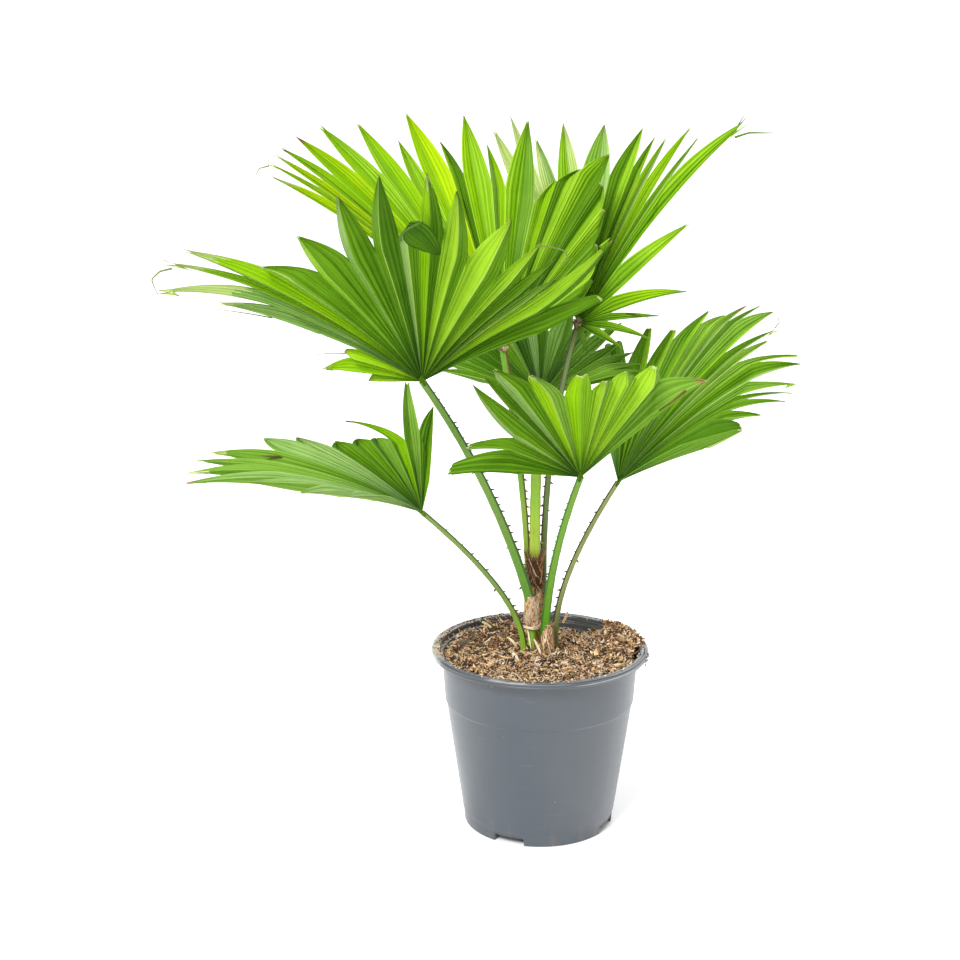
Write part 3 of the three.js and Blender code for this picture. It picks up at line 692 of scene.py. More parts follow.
STEM_FOOT = 164
STEMS = {
    "stem_left": {
        "foot": (-8, 0), "top": (-8, 0, 227), "radii": (5.0, 7.4, 7.2), "sheath": (197, 227),
        "mix": (0.5, 0.12, 0.04, 0.02, 0.32), "core": 1, "bristles": (80, 6.5, 4), "turn": 164,
    },
    "stem_right": {
        "foot": (8, -8), "top": (6.5, -8, 201), "radii": (6.8, 6.3, 5.9), "sheath": (164, 201),
        "mix": (0.5, 0.34, 0.06, 0.04, 0.06), "core": 1, "bristles": (70, 5.5, 2), "turn": 164,
    },
    "stem_back": {
        "foot": (-4, 21), "top": (-5, 19, 263), "radii": (8.0, 8.0, 8.9), "sheath": (164, 263),
        "mix": (0.06, 0.42, 0.46, 0.06, 0.0), "core": 2, "bristles": (150, 9, 7), "turn": 232,
    },
}
STRANDS = 300
CORE_RINGS = 40
CORE_SIDES = 48
TWINE_HEIGHTS = (197.6, 198.9, 199.8)


def stem_line(shape, z):
    """Centre (x, y) and radius in mm at height z: straight between foot and top, the radius
    straight from foot to 60% and on to the top."""
    t = np.clip((z - STEM_FOOT) / (shape["top"][2] - STEM_FOOT), 0, 1)
    x = shape["foot"][0] + (shape["top"][0] - shape["foot"][0]) * t
    y = shape["foot"][1] + (shape["top"][1] - shape["foot"][1]) * t
    return x, y, np.interp(t, [0, 0.6, 1], shape["radii"])


def strand_net(rng, shape, count):
    """Flat strands that climb the stem, half of them winding left and half right: 14 steps up
    a helix that lies on the surface."""
    low, high = shape["sheath"]
    z0 = rng.uniform(low - 4, high - 8, count)
    rise = rng.uniform(14, 30, count)
    start = rng.uniform(0, 2 * np.pi, count)
    wind = rng.uniform(0.5, 1.5, count) * np.where(np.arange(count) % 2, 1, -1)
    t = np.linspace(0, 1, 14)[None]
    top = high + 3.5 * rng.uniform(0, 1, (count, 1))
    z = np.clip(z0[:, None] + rise[:, None] * t, low - 1.5 * rng.uniform(0, 1, (count, 1)), top)
    x, y, r = stem_line(shape, z)
    a = start[:, None] + wind[:, None] * t
    r = r + rng.uniform(-0.9, 0.35, (count, 1)) + np.clip(z - high, 0, 9) * 0.3
    line = ring_points(x, y, r, a, z + 0.01 * t)
    out = ring_points(0, 0, 1, a, 0 * a)
    thick = 1.05 * rng.uniform(0.5, 1.4, (count, 1)) * (1.02 - t ** 6)
    return tubes(line, thick, flat=0.4, up=out)


def bristle_ring(rng, shape, count, length, tall):
    """Frayed ends round the top of the sheath: each rises and leans outward along a curve,
    every tenth one longer by tall."""
    a = rng.uniform(0, 2 * np.pi, count)
    x, y, r = stem_line(shape, np.full(count, float(shape["sheath"][1])))
    out = ring_points(0, 0, 1, a, 0 * a)[:, None]
    size = length * rng.uniform(0.5, 1.2, count) + tall * (np.arange(count) % 10 == 0)
    t = np.linspace(0, 1, 6)[None, :, None]
    foot = np.stack([x + 0 * a, y + 0 * a, shape["sheath"][1] - 3 + 0 * a], -1)[:, None]
    lean = rng.uniform(0.0, 0.55, count)[:, None, None]
    line = foot + out * (r[:, None, None] + lean * size[:, None, None] * t ** 1.6)
    line = line + np.array([0, 0, 1.0]) * (size[:, None, None] + 3) * t
    thick = rng.uniform(0.35, 0.9, (count, 1)) * (1.03 - t[..., 0])
    return tubes(line, thick, flat=0.5, up=np.broadcast_to(out, line.shape))


def stem_core(shape, seed):
    """The stem's own surface: rings up its line, rough by lumps 3 mm across, closed at the
    foot and the top by rings that shrink to its middle."""
    low, high = shape["sheath"]
    shrink = np.concatenate([[0, 0.6], np.ones(CORE_RINGS), np.linspace(0.9, 0, 6)])[:, None]
    climb = np.linspace(low, high - 1.5, CORE_RINGS)
    z = np.concatenate([[low, low], climb, np.full(6, high - 1.5)])[:, None]
    a = circle(CORE_SIDES)[None]
    x, y, r = stem_line(shape, z)
    r = (r - 1.2 + 0.5 * lumps(a * 9, z, 6, seed)) * shrink
    z = z + 1.2 * np.sin(a * 5) * (shrink < 1) * (z > low) * shrink + 0 * a
    points = ring_points(x, y, r, a, z).reshape(-1, 3)
    return points, grid_faces(len(z), CORE_SIDES, ring=True)


def fibre_finish(name, dark, light):
    """Dry woven fibre: streaks that run up the stem, dark between the strands."""
    made = Finish(name, light, 0.85)
    streak = made.noise(made.place((1, 1, 0.18)), 1300.0, 4.0, 0.65)
    blotch = made.noise(made.place(), 130.0, 3.0)
    share = streak * 0.7 + blotch * 0.5
    return made.wear(colour=made.mix(share.above(0.36, 0.36), dark, light),
                     roughness=0.78 + blotch * 0.15, height=streak, depth=0.0008)


def stalk_finish(name, low_colour, high_colour, low, high):
    """Waxy stalk skin: between the heights low and high (mm) the foot's colour runs into the
    blade's, with fine lengthwise lines."""
    made = Finish(name, high_colour, 0.42, {"Specular IOR Level": 0.25})
    z = made.axis(made.place(), 2)
    climb = z.above(low * 0.001, (high - low) * 0.001)
    line = made.noise(made.place((1, 1, 0.06)), 1500.0, 3.0)
    blotch = made.noise(made.place(), 55.0, 3.0)
    skin = made.mix(climb, low_colour, high_colour)
    pale = tuple(min(1.0, c * 1.35 + 0.03) for c in high_colour)
    skin = made.mix(line.above(0.5, 0.25) * 0.45, skin, pale)
    skin = made.mix(blotch.above(0.56, 0.2) * 0.3, skin, (0.2, 0.14, 0.04))
    return made.wear(colour=skin, roughness=0.4 + line * 0.18, height=line, depth=0.0004)


stem_finishes = [
    fibre_finish("fibre_tan", (0.34, 0.17, 0.06), (0.88, 0.6, 0.34)),
    fibre_finish("fibre_brown", (0.09, 0.038, 0.015), (0.4, 0.2, 0.085)),
    fibre_finish("fibre_black", (0.018, 0.008, 0.004), (0.1, 0.04, 0.018)),
    fibre_finish("fibre_rust", (0.38, 0.15, 0.016), (0.85, 0.5, 0.12)),
    fibre_finish("fibre_pale", (0.55, 0.38, 0.22), (0.93, 0.78, 0.58)),
]
for stem_seed, (stem_name, shape) in enumerate(STEMS.items()):
    chance = np.random.default_rng(40 + stem_seed)
    core, core_faces = stem_core(shape, stem_seed)
    net, net_faces = strand_net(chance, shape, STRANDS)
    fray = bristle_ring(chance, shape, *shape["bristles"])
    pick = chance.choice(5, STRANDS + shape["bristles"][0], p=shape["mix"])
    net_pick, fray_pick = pick[:STRANDS], pick[STRANDS:]
    low_down = net.reshape(STRANDS, -1, 3)[..., 2].mean(1) < shape["turn"]
    net_pick = np.where(low_down, chance.choice([3, 0, 3, 1], STRANDS), net_pick)
    core_pick = np.where(core[core_faces[:, 0], 2] < shape["turn"], 3, shape["core"])
    points, faces, pick = joined([(core, core_faces, core_pick), (net, net_faces, net_pick),
                                  (*fray, fray_pick)])
    stem = mesh_object(stem_name + "_sheath", points, faces, stem_finishes, pick=pick, weld=1e-7)
    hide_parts(stem_name)
    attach(stem, "root")

left_stem = STEMS["stem_left"]
turn = np.linspace(0, 2 * np.pi, 61)[None]
twine_z = np.array(TWINE_HEIGHTS)[:, None] + 0.5 * np.sin(turn * 2 + np.arange(3)[:, None])
twine_r = stem_line(left_stem, twine_z)[2] + 0.7 + 0.25 * np.sin(turn * 7)
twine_lines = ring_points(*left_stem["foot"], twine_r, turn, twine_z)
twine = tubes(twine_lines, np.full((3, 61), 0.9), sides=8)
t = np.linspace(0, 1, 24)
stub_line = np.stack([-8.5 + 1.2 * t, -1 + 0 * t, 162 + 38 * t], -1)
stub = tubes(stub_line[None], 7.6 + 0 * t[None] + 1.2 * t[None] ** 2, flat=0.9, sides=18,
             up=(0, -1, 0))
strip_line = np.stack([  # two dry strips of old leaf base that hang in front of the stub
    np.stack([-12.0 + 3.6 * t, -5.0 - 2.5 * t ** 2, 196 - 21 * t ** 1.2], -1),
    np.stack([-6.0 + 8.5 * t, -7.0 - 5.5 * t ** 2, 187 - 18 * t ** 1.2], -1)])
strip_wide = np.array([[2.0], [2.8]]) * np.sin(np.pi * (0.12 + 0.84 * t))
strips = tubes(strip_line, strip_wide, flat=0.22, sides=8, up=(0, -1, 0))
stub_skin = stalk_finish("stub_green", (0.35, 0.55, 0.03), (0.12, 0.3, 0.03), 168, 200)
points, faces, pick = joined([(*twine, 0), (*stub, 1), (*strips, 0)])
tie = mesh_object("stem_left_stub_and_twine", points, faces, [stem_finishes[4], stub_skin],
                  pick=pick, weld=1e-7)
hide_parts("stem_left")
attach(tie, "root")

# Leaf stalks. Firm green stalks, slightly channelled above, each bowing out from the stems and
# tapering to its blade, with painted shade along their sides, and a row of short dark hooked
# spines that stands mostly on one side.

LEAVES = {
    "a": {
        "hub": (-109, -90, 457), "heading": 262, "rise": 61, "roll": 0, "cup": (15, 15), "droop": 35,
        "lobes": [
            (-55, 196), (-42, 254), (-43.5, 178), (-39, 196), (-34, 202), (-25, 212), (-12, 228),
            (-6, 248), (-1, 175), (3, 244), (13, 224), (28, 194), (42.5, 189), (49, 264), (53, 274),
            (60, 266), (61, 206), (71, 76), (89, 98), (100, 54),
        ],
        "partings": [
            (-65, 105), (-54, 140), (-47, 124), (-43, 135), (-38, 140), (-32, 138), (-20, 142),
            (-11, 168), (-4, 166), (2, 164), (11, 150), (22, 144), (35, 144), (45, 180),
            (50.3, 192), (52.6, 172), (57.5, 150), (63, 58), (78, 68), (94, 50), (106, 30),
        ],
        "blunt": {0: 0.35, 8: 0.8, 12: 0.15, 17: 0.4},
        "foot": (-6, 0, 212), "bow": (-40, -23, 341), "radii": (4.8, 2.9),
    },
    "b": {
        "hub": (-112, -35, 322), "heading": 170, "rise": 24, "roll": 18, "cup": (60, 15), "droop": 40,
        "lobes": [
            (-50, 110), (-41, 150), (-31, 190), (-22, 240), (-12.5, 236), (-2.5, 234), (2.6, 232),
            (10.5, 186), (17, 160), (24, 124), (33, 115), (44, 113), (38, 154), (63, 222),
            (71, 168),
        ],
        "partings": [
            (-56, 60), (-46, 90), (-37, 115), (-28, 140), (-19, 150), (-10, 165), (-3, 165),
            (4.5, 160), (13, 150), (19, 118), (28, 108), (38, 104), (48.5, 98), (57, 98),
            (65.5, 112), (77, 40),
        ],
        "blunt": {7: 0.4, 13: 0.2},
        "foot": (-16.5, 2, STEM_FOOT), "bow": (-6, -4, 220), "radii": (3, 2.3),
    },
    "c": {
        "hub": (33, -75, 366), "heading": 270, "rise": 60, "roll": -12, "cup": (10, 10), "droop": 15,
        "lobes": [
            (-50, 148), (-29, 134), (-17, 126), (-8, 119), (2, 128), (20, 146), (29, 164),
            (32.8, 163), (37.5, 160), (61, 118), (79, 122),
        ],
        "partings": [
            (-54, 60), (-37, 118), (-24, 116), (-13, 112), (-4, 100), (10, 98), (22, 126),
            (31, 142), (36, 98), (49, 80), (60.5, 72), (86, 50),
        ],
        "blunt": {0: 0.4, 1: 0.3, 3: 0.5, 4: 0.6, 9: 0.5, 10: 0.6},
        "foot": (4.5, -8, 190), "bow": (6, -30, 273), "radii": (4.2, 2.8),
    },
    "d": {
        "hub": (75, 25, 336), "heading": 18, "rise": 38, "roll": -22, "cup": (15, 60), "droop": 40,
        "lobes": [
            (-52, 197), (-41, 216), (-34, 214), (-28.5, 264), (-25, 267), (-22.3, 294), (-20, 300),
            (-17.6, 303), (-12.8, 274), (-11, 250), (-4, 254), (-1, 246), (7, 216), (12, 204),
            (16, 192), (21, 162), (33, 147),
        ],
        "partings": [
            (-62, 70), (-46, 144), (-38.5, 150), (-33, 190), (-28, 230), (-25.2, 234), (-22.6, 245),
            (-20.6, 250), (-16, 195), (-13, 210), (-10.5, 192), (-7, 200), (-2, 178), (1.5, 154),
            (4, 146), (8, 126), (16, 112), (38, 84),
        ],
        "blunt": {0: 0.6, 1: 0.3, 2: 0.4, 10: 0.3, 15: 0.6, 16: 0.6},
        "foot": (18.5, 6, STEM_FOOT), "bow": (2, 8, 224), "radii": (2.9, 2.3),
    },
    "e": {
        "hub": (-36, 50, 463), "heading": 96, "rise": 64, "roll": 0, "cup": (10, 10), "droop": 25,
        "lobes": [
            (-45.8, 304), (-43.8, 320), (-42, 322), (-40, 324), (-37, 320), (-33, 314), (-27, 292),
            (-21.8, 250), (-18, 276), (-12.7, 234), (-6, 258), (-1.5, 220), (8.4, 254), (18.7, 190),
            (23.8, 212), (28.2, 246), (31, 209), (35.5, 184), (41.8, 146), (52.8, 114),
        ],
        "partings": [
            (-45.4, 190), (-43.5, 240), (-42.3, 250), (-40.6, 252), (-38.4, 250), (-34.6, 236),
            (-30, 218), (-24.5, 196), (-20.5, 198), (-13, 190), (-9.5, 186), (-1, 170), (3.5, 168),
            (14, 152), (19, 185), (24, 208), (30, 204), (35, 179), (41, 141), (52, 109), (68, 50),
        ],
        "blunt": {},
        "foot": (-12.1, 21, 245), "bow": (-11, 24, 310), "radii": (2.5, 3.3),
    },
    "f": {
        "hub": (38, 90, 479), "heading": 38, "rise": 47, "roll": -25, "cup": (10, 15), "droop": 30,
        "lobes": [
            (-49, 302), (-45, 310), (-41.5, 262), (-35, 278), (-26, 272), (-17, 266), (-14, 260),
            (-11, 262), (-8, 294), (-5, 280), (-0.3, 345), (12, 162), (46, 114), (60, 84), (78, 80),
            (97, 62),
        ],
        "partings": [
            (-52, 190), (-47.5, 200), (-43.5, 190), (-38.5, 170), (-31, 175), (-21.5, 182),
            (-15.5, 200), (-12.8, 190), (-10.2, 186), (-6.5, 156), (-4.2, 200), (2.4, 72), (24, 42),
            (50, 34), (66, 30), (86, 26), (106, 20),
        ],
        "blunt": {},
        "foot": (7, 22, STEM_FOOT), "bow": (-6, 28, 345), "radii": (3.2, 2.5),
    },
    "g": {
        "hub": (2, 85, 407), "heading": 90, "rise": 25, "roll": 0, "cup": (20, 20), "droop": 20,
        "lobes": [
            (-82, 106), (-72, 115), (-61, 125), (-48, 135), (-36, 145), (-24, 155), (-12, 165),
            (0, 175), (12, 178), (24, 176), (36, 150), (48, 114), (60, 111), (72, 108), (83, 105),
        ],
        "partings": [
            (-90, 50), (-78, 72), (-66, 78), (-54, 84), (-42, 90), (-30, 96), (-18, 102), (-6, 108),
            (6, 114), (18, 116), (30, 104), (42, 80), (54, 76), (66, 73), (78, 70), (90, 50),
        ],
        "blunt": {},
        "foot": (-4.4, 19, 245), "bow": (-6, 24, 350), "radii": (4.9, 4.6),
    },
}
STALKS = {  # colours low and high, of the painted shade along the sides and of the spines; then for left and right: how far round the painted shade starts, and the share of the spines that is there
    # round the edge colour starts, and the share of the spines that is there
    "a": ((0.09, 0.24, 0.02), (0.13, 0.25, 0.04), (0.035, 0.1, 0.012), (0.04, 0.02, 0.012),
          (0.97, 0.6), (0.1, 1.0)),
    "b": ((0.26, 0.5, 0.012), (0.15, 0.24, 0.05), (0.05, 0.09, 0.015), (0.04, 0.018, 0.012),
          (0.95, 0.6), (0.1, 0.7)),
    "c": ((0.08, 0.3, 0.008), (0.13, 0.27, 0.025), (0.035, 0.14, 0.008), (0.022, 0.03, 0.01),
          (0.7, 0.9), (1.0, 0.1)),
    "d": ((0.12, 0.13, 0.04), (0.2, 0.24, 0.07), (0.035, 0.04, 0.015), (0.05, 0.02, 0.012),
          (0.6, 0.93), (1.0, 0.15)),
    "e": ((0.3, 0.36, 0.055), (0.12, 0.28, 0.02), (0.1, 0.08, 0.01), (0.09, 0.045, 0.012),
          (1.1, 0.55), (0.0, 1.0)),
    "f": ((0.19, 0.18, 0.09), (0.1, 0.15, 0.04), (0.05, 0.045, 0.02), (0.05, 0.02, 0.015),
          (0.6, 0.95), (1.0, 0.3)),
    "g": ((0.46, 0.56, 0.06), (0.2, 0.36, 0.03), (0.3, 0.34, 0.07), (0.2, 0.2, 0.05),
          (0.96, 0.82), (0.05, 0.1)),
}
SPINE_EVERY = 4.6
STALK_RINGS = 84
STALK_SIDES = 36


def stalk_line(leaf, t):
    """Points, unit tangents and radii along the stalk: the quadratic curve from foot to hub
    that bends towards bow; the radius falls from the first to the second of radii."""
    foot, bow, hub = (np.array(leaf[key], float) for key in ("foot", "bow", "hub"))
    t = np.asarray(t)[:, None]
    line = foot * (1 - t) ** 2 + bow * 2 * t * (1 - t) + hub * t ** 2
    along = (bow - foot) * (1 - t) + (hub - bow) * t
    thick, slim = leaf["radii"]
    return line, unit(along), thick + (slim - thick) * t[:, 0] ** 0.7


def stalk_frame(along):
    """Across is level and to the side of the stalk as seen along +Y, out is square to both."""
    across = unit(np.cross(along, np.array([0.0, 1.0, 0.0])))
    return across, np.cross(along, across)


def spine_rows(rng, leaf, kept):
    """Hooked spines: cones of five six-sided rings that curve back towards the stalk's foot,
    one place every SPINE_EVERY mm, on alternate sides, each side keeping its share of them."""
    length = float(np.linalg.norm(np.diff(stalk_line(leaf, np.linspace(0, 1, 60))[0], axis=0),
                                  axis=1).sum())
    at = np.arange(0.1 * length, 0.95 * length, SPINE_EVERY)
    side = np.where(np.arange(len(at)) % 2, 1, -1)
    stay = rng.uniform(0, 1, len(at)) < np.where(side > 0, kept[0], kept[1])
    at = (at + rng.uniform(-1.8, 1.8, len(at)))[stay]
    sign = side[stay][:, None]
    base, heading, thick = stalk_line(leaf, at / length)
    side_way, out_way = stalk_frame(heading)
    side_way = side_way * sign
    size = (4.5 - 2.0 * at / length)[:, None] * rng.uniform(0.6, 1.25, (len(at), 1))
    k = np.linspace(0, 1, 5)[None, :, None]
    line = (base[:, None] + side_way[:, None] * (thick[:, None, None] * 0.93 + size[:, None] * k)
            - heading[:, None] * (size[:, None] * (0.1 * k + 0.45 * k ** 2)))
    wide = size * 0.66 * (1.02 - k[..., 0] ** 1.2)
    return tubes(line, wide, flat=0.5, sides=6, up=np.broadcast_to(out_way[:, None], line.shape))


for stalk_seed, (key, leaf) in enumerate(LEAVES.items()):
    chance = np.random.default_rng(60 + stalk_seed)
    low_colour, high_colour, side_shade_colour, thorn, edges, kept = STALKS[key]
    line, along, radius = stalk_line(leaf, np.linspace(0, 1, STALK_RINGS))
    across, out = stalk_frame(along)
    a = circle(STALK_SIDES)[None]
    groove = 1 - 0.22 * np.exp(-(((a - np.pi / 2) / 0.45) ** 2))
    r = radius[:, None] * groove * (1 + 0.1 * np.cos(a * 2))
    r = r * (1 + 0.025 * np.sin(np.arange(STALK_RINGS)[:, None] * 0.7))
    skin = (line[:, None] + (r * np.cos(a))[..., None] * across[:, None]
            + (r * 0.85 * np.sin(a))[..., None] * out[:, None])
    skin = np.concatenate([line[:1, None] + 0 * skin[:1], skin, line[-1:, None] + 0 * skin[:1]])
    # Faces turned far to either side get the colour of painted shade.
    toward = np.cos(a + np.pi / STALK_SIDES)
    in_side_shade = (toward > edges[0]) | (toward < -edges[1])
    points, faces, pick = joined([
        (skin.reshape(-1, 3), grid_faces(len(skin), STALK_SIDES, ring=True),
         np.repeat(in_side_shade, len(skin) - 1, 0).ravel().astype(int)),
        (*spine_rows(chance, leaf, kept), 2),
    ])
    z_range = (leaf["foot"][2], 0.55 * leaf["foot"][2] + 0.45 * leaf["hub"][2])
    finishes = [stalk_finish("stalk_skin_" + key, low_colour, high_colour, *z_range),
                stalk_finish("stalk_side_shade_" + key, side_shade_colour, side_shade_colour, *z_range),
                fibre_finish("thorn_" + key, thorn, tuple(c * 2.2 for c in thorn))]
    stalk = mesh_object("leaf_stalk_" + key, points, faces, finishes, pick=pick, weld=1e-7)
    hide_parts("stalk_" + key)
    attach(stalk, "root")

# Fan blades. Each leaf is one pleated fan: narrow segments folded along their ribs, joined
# from the hub to about two thirds of their length and free beyond it, some with a forked,
# dried or torn end.

BLADE_THICK = 0.6
FOLD = 0.5  # depth of a pleat, as a part of its half width
TAPER = 1.6
LEAN = 1.15
BLUNT_DIP = 6
LIGHT_THROUGH = 0.28
RIB_HALF = 0.028  # half of the midrib, as a part of the segment's half width
BLADE_COLOURS = {  # dark and light colour, and the light that comes through
    # From lemon down to deep these greens also serve as painted light and painted shade when dealt to
    # the halves of a pleat.
    "lemon": ((0.3, 0.53, 0.003), (0.53, 0.74, 0.006), (0.5, 0.75, 0.0)),
    "lime": ((0.22, 0.47, 0.003), (0.4, 0.67, 0.01), (0.4, 0.72, 0.0)),
    "bright": ((0.18, 0.42, 0.004), (0.42, 0.68, 0.035), (0.38, 0.69, 0.01)),
    "fresh": ((0.13, 0.3, 0.014), (0.28, 0.5, 0.06), (0.24, 0.5, 0.02)),
    "mid": ((0.07, 0.19, 0.003), (0.17, 0.37, 0.012), (0.17, 0.4, 0.002)),
    "deep": ((0.04, 0.13, 0.003), (0.1, 0.25, 0.008), (0.08, 0.28, 0.001)),
    "glaucous": ((0.15, 0.33, 0.045), (0.4, 0.6, 0.18), (0.28, 0.52, 0.06)),
    "pale": ((0.38, 0.56, 0.12), (0.7, 0.82, 0.34), (0.6, 0.74, 0.16)),
    "rib": ((0.2, 0.4, 0.02), (0.42, 0.62, 0.13), (0.3, 0.55, 0.03)),
    "dry": ((0.15, 0.085, 0.022), (0.5, 0.36, 0.12), (0.25, 0.18, 0.04)),
}
DEALT = {
    # Per leaf, first the colours of each segment's two halves: mostly painted light and painted
    # shade on the two sides of each pleat, partly the leaf's own tone. shade: the part of a segment
    # over which painted shade darkens it towards the hub. ends: a colour from a share of the segment
    # on. fork: depth of a forked end in mm.
    "a": {
        "shade": 0.3,
        "halves_lit_and_shaded": """deep mid, mid bright, deep fresh, deep mid, mid bright, mid bright,
            mid bright, mid lime, mid glaucous, deep mid, mid glaucous, mid bright, mid glaucous,
            lime glaucous, bright lime, glaucous fresh, glaucous pale, lime lime, lime bright,
            bright lime""",
        "ends": {13: (0.84, "pale"), 14: (0.82, "pale"), 15: (0.7, "pale"), 16: (0.9, "pale"),
                 17: (0.96, "dry"), 18: (0.93, "pale"), 7: (0.94, "pale")},
        "fork": {1: 16, 13: 18, 14: 30, 15: 24, 16: 12, 18: 12},
    },
    "b": {
        "shade": 0.42,
        "halves_lit_and_shaded": """glaucous glaucous, glaucous glaucous, fresh glaucous, fresh glaucous,
            mid fresh, mid fresh, mid fresh, fresh glaucous, deep glaucous, deep mid, deep mid,
            deep fresh, mid lime, mid fresh, mid bright""",
        "ends": {3: (0.95, "dry"), 12: (0.93, "dry"), 6: (0.9, "pale"), 4: (0.92, "pale")},
        "fork": {3: 24, 4: 18, 5: 14, 6: 20, 13: 8},
    },
    "c": {
        "shade": 0.3,
        "halves_lit_and_shaded": """deep fresh, fresh bright, fresh bright, fresh bright, bright lime,
            fresh lime, mid glaucous, mid glaucous, mid glaucous, mid glaucous, mid fresh""",
        "ends": {0: (0.95, "dry"), 9: (0.975, "pale"), 5: (0.96, "pale")},
        "fork": {5: 8, 6: 8, 7: 6},
    },
    "d": {
        "shade": 0.36,
        "halves_lit_and_shaded": """glaucous fresh, mid bright, mid bright, fresh bright, fresh bright,
            fresh glaucous, fresh glaucous, fresh bright, mid glaucous, fresh pale, fresh bright,
            mid glaucous, fresh bright, mid fresh, mid fresh, mid fresh, deep mid""",
        "ends": {0: (0.982, "dry"), 1: (0.975, "dry"), 2: (0.98, "dry"), 5: (0.94, "dry"),
                 8: (0.93, "pale"), 15: (0.978, "dry"), 16: (0.98, "dry")},
        "fork": {3: 10, 4: 14, 8: 20, 9: 16, 12: 14},
    },
    "e": {
        "shade": 0.55,
        "halves_lit_and_shaded": """lime lemon, lime bright, lime lemon, bright lime, lime lemon, lime bright,
            bright lime, bright bright, lime lemon, bright mid, lime bright, fresh lime,
            bright fresh, bright lime, mid bright, bright mid, mid bright, bright mid, mid bright,
            mid mid""",
        "ends": {0: (0.92, "pale"), 2: (0.95, "pale"), 3: (0.96, "dry"), 4: (0.96, "dry")},
        "fork": {1: 16, 2: 12, 3: 10, 5: 12, 6: 8, 8: 6, 12: 6},
    },
    "f": {
        "shade": 0.72,
        "halves_lit_and_shaded": """pale pale, pale pale, pale glaucous, bright pale, fresh glaucous,
            mid bright, mid bright, bright glaucous, lime bright, bright glaucous, bright lime,
            bright lime, lime mid, bright mid, bright mid, bright mid""",
        "ends": {10: (0.96, "dry"), 8: (0.93, "pale"), 6: (0.97, "dry"), 4: (0.97, "dry")},
        "fork": {0: 14, 2: 10, 7: 14, 8: 12, 9: 10, 10: 44, 11: 8},
    },
    "g": {
        "shade": 0.35,
        "halves_lit_and_shaded": """fresh mid, fresh mid, fresh mid, bright mid, fresh mid, mid bright,
            fresh mid, glaucous mid, fresh mid, mid bright, fresh mid, fresh bright, fresh mid,
            fresh mid, fresh mid""",
        "ends": {},
        "fork": {},
    },
}
FINER_ENDS = {  # ends that are slimmer than on the solids
    "b": {7: 0.06}, "c": {0: 0.1}, "d": {15: 0.32, 16: 0.42},
}


def vary(n):
    """An even, repeatable spread of numbers from 0 to 1: the fraction of a large sine."""
    v = np.sin(np.asarray(n, float) * 12.9898) * 43758.5453
    return v - np.floor(v)


def blade_frame(leaf):
    """Three unit vectors: the blade's middle line, its side and its face, from heading, rise
    and roll in degrees."""
    a, b, c = np.radians([leaf["heading"], leaf["rise"], leaf["roll"]])
    middle = np.array([np.cos(b) * np.cos(a), np.cos(b) * np.sin(a), np.sin(b)])
    flat = np.array([-np.sin(b) * np.cos(a), -np.sin(b) * np.sin(a), np.cos(b)])
    level = np.cross(middle, flat)
    return middle, np.cos(c) * level + np.sin(c) * flat, np.cos(c) * flat - np.sin(c) * level


def ray(leaf, phi):
    """Unit line from the hub at phi degrees from the middle, folded up by the cup, whose
    share grows as the angle over 90 to the power 1.3."""
    middle, side, face = blade_frame(leaf)
    cup = np.where(phi > 0, leaf["cup"][1], leaf["cup"][0])
    fold = np.radians(cup * np.minimum(1, np.abs(phi) / 90) ** 1.3)[..., None]
    turn = np.radians(phi)[..., None]
    return np.cos(fold) * (np.cos(turn) * middle + np.sin(turn) * side) + np.sin(fold) * face


def blade_points(leaf, phi, s, lift):
    """Points in mm at phi degrees and s mm from the hub, lifted along the blade's normal and
    sagging with the square of s."""
    line = ray(leaf, phi)
    normal = unit(np.cross(ray(leaf, phi + 0.5) - ray(leaf, phi - 0.5), line))
    points = np.array(leaf["hub"], float) + line * s[..., None] + normal * lift[..., None]
    points[..., 2] -= leaf["droop"] * (s / 200) ** 2 * np.hypot(line[..., 0], line[..., 1])
    return points


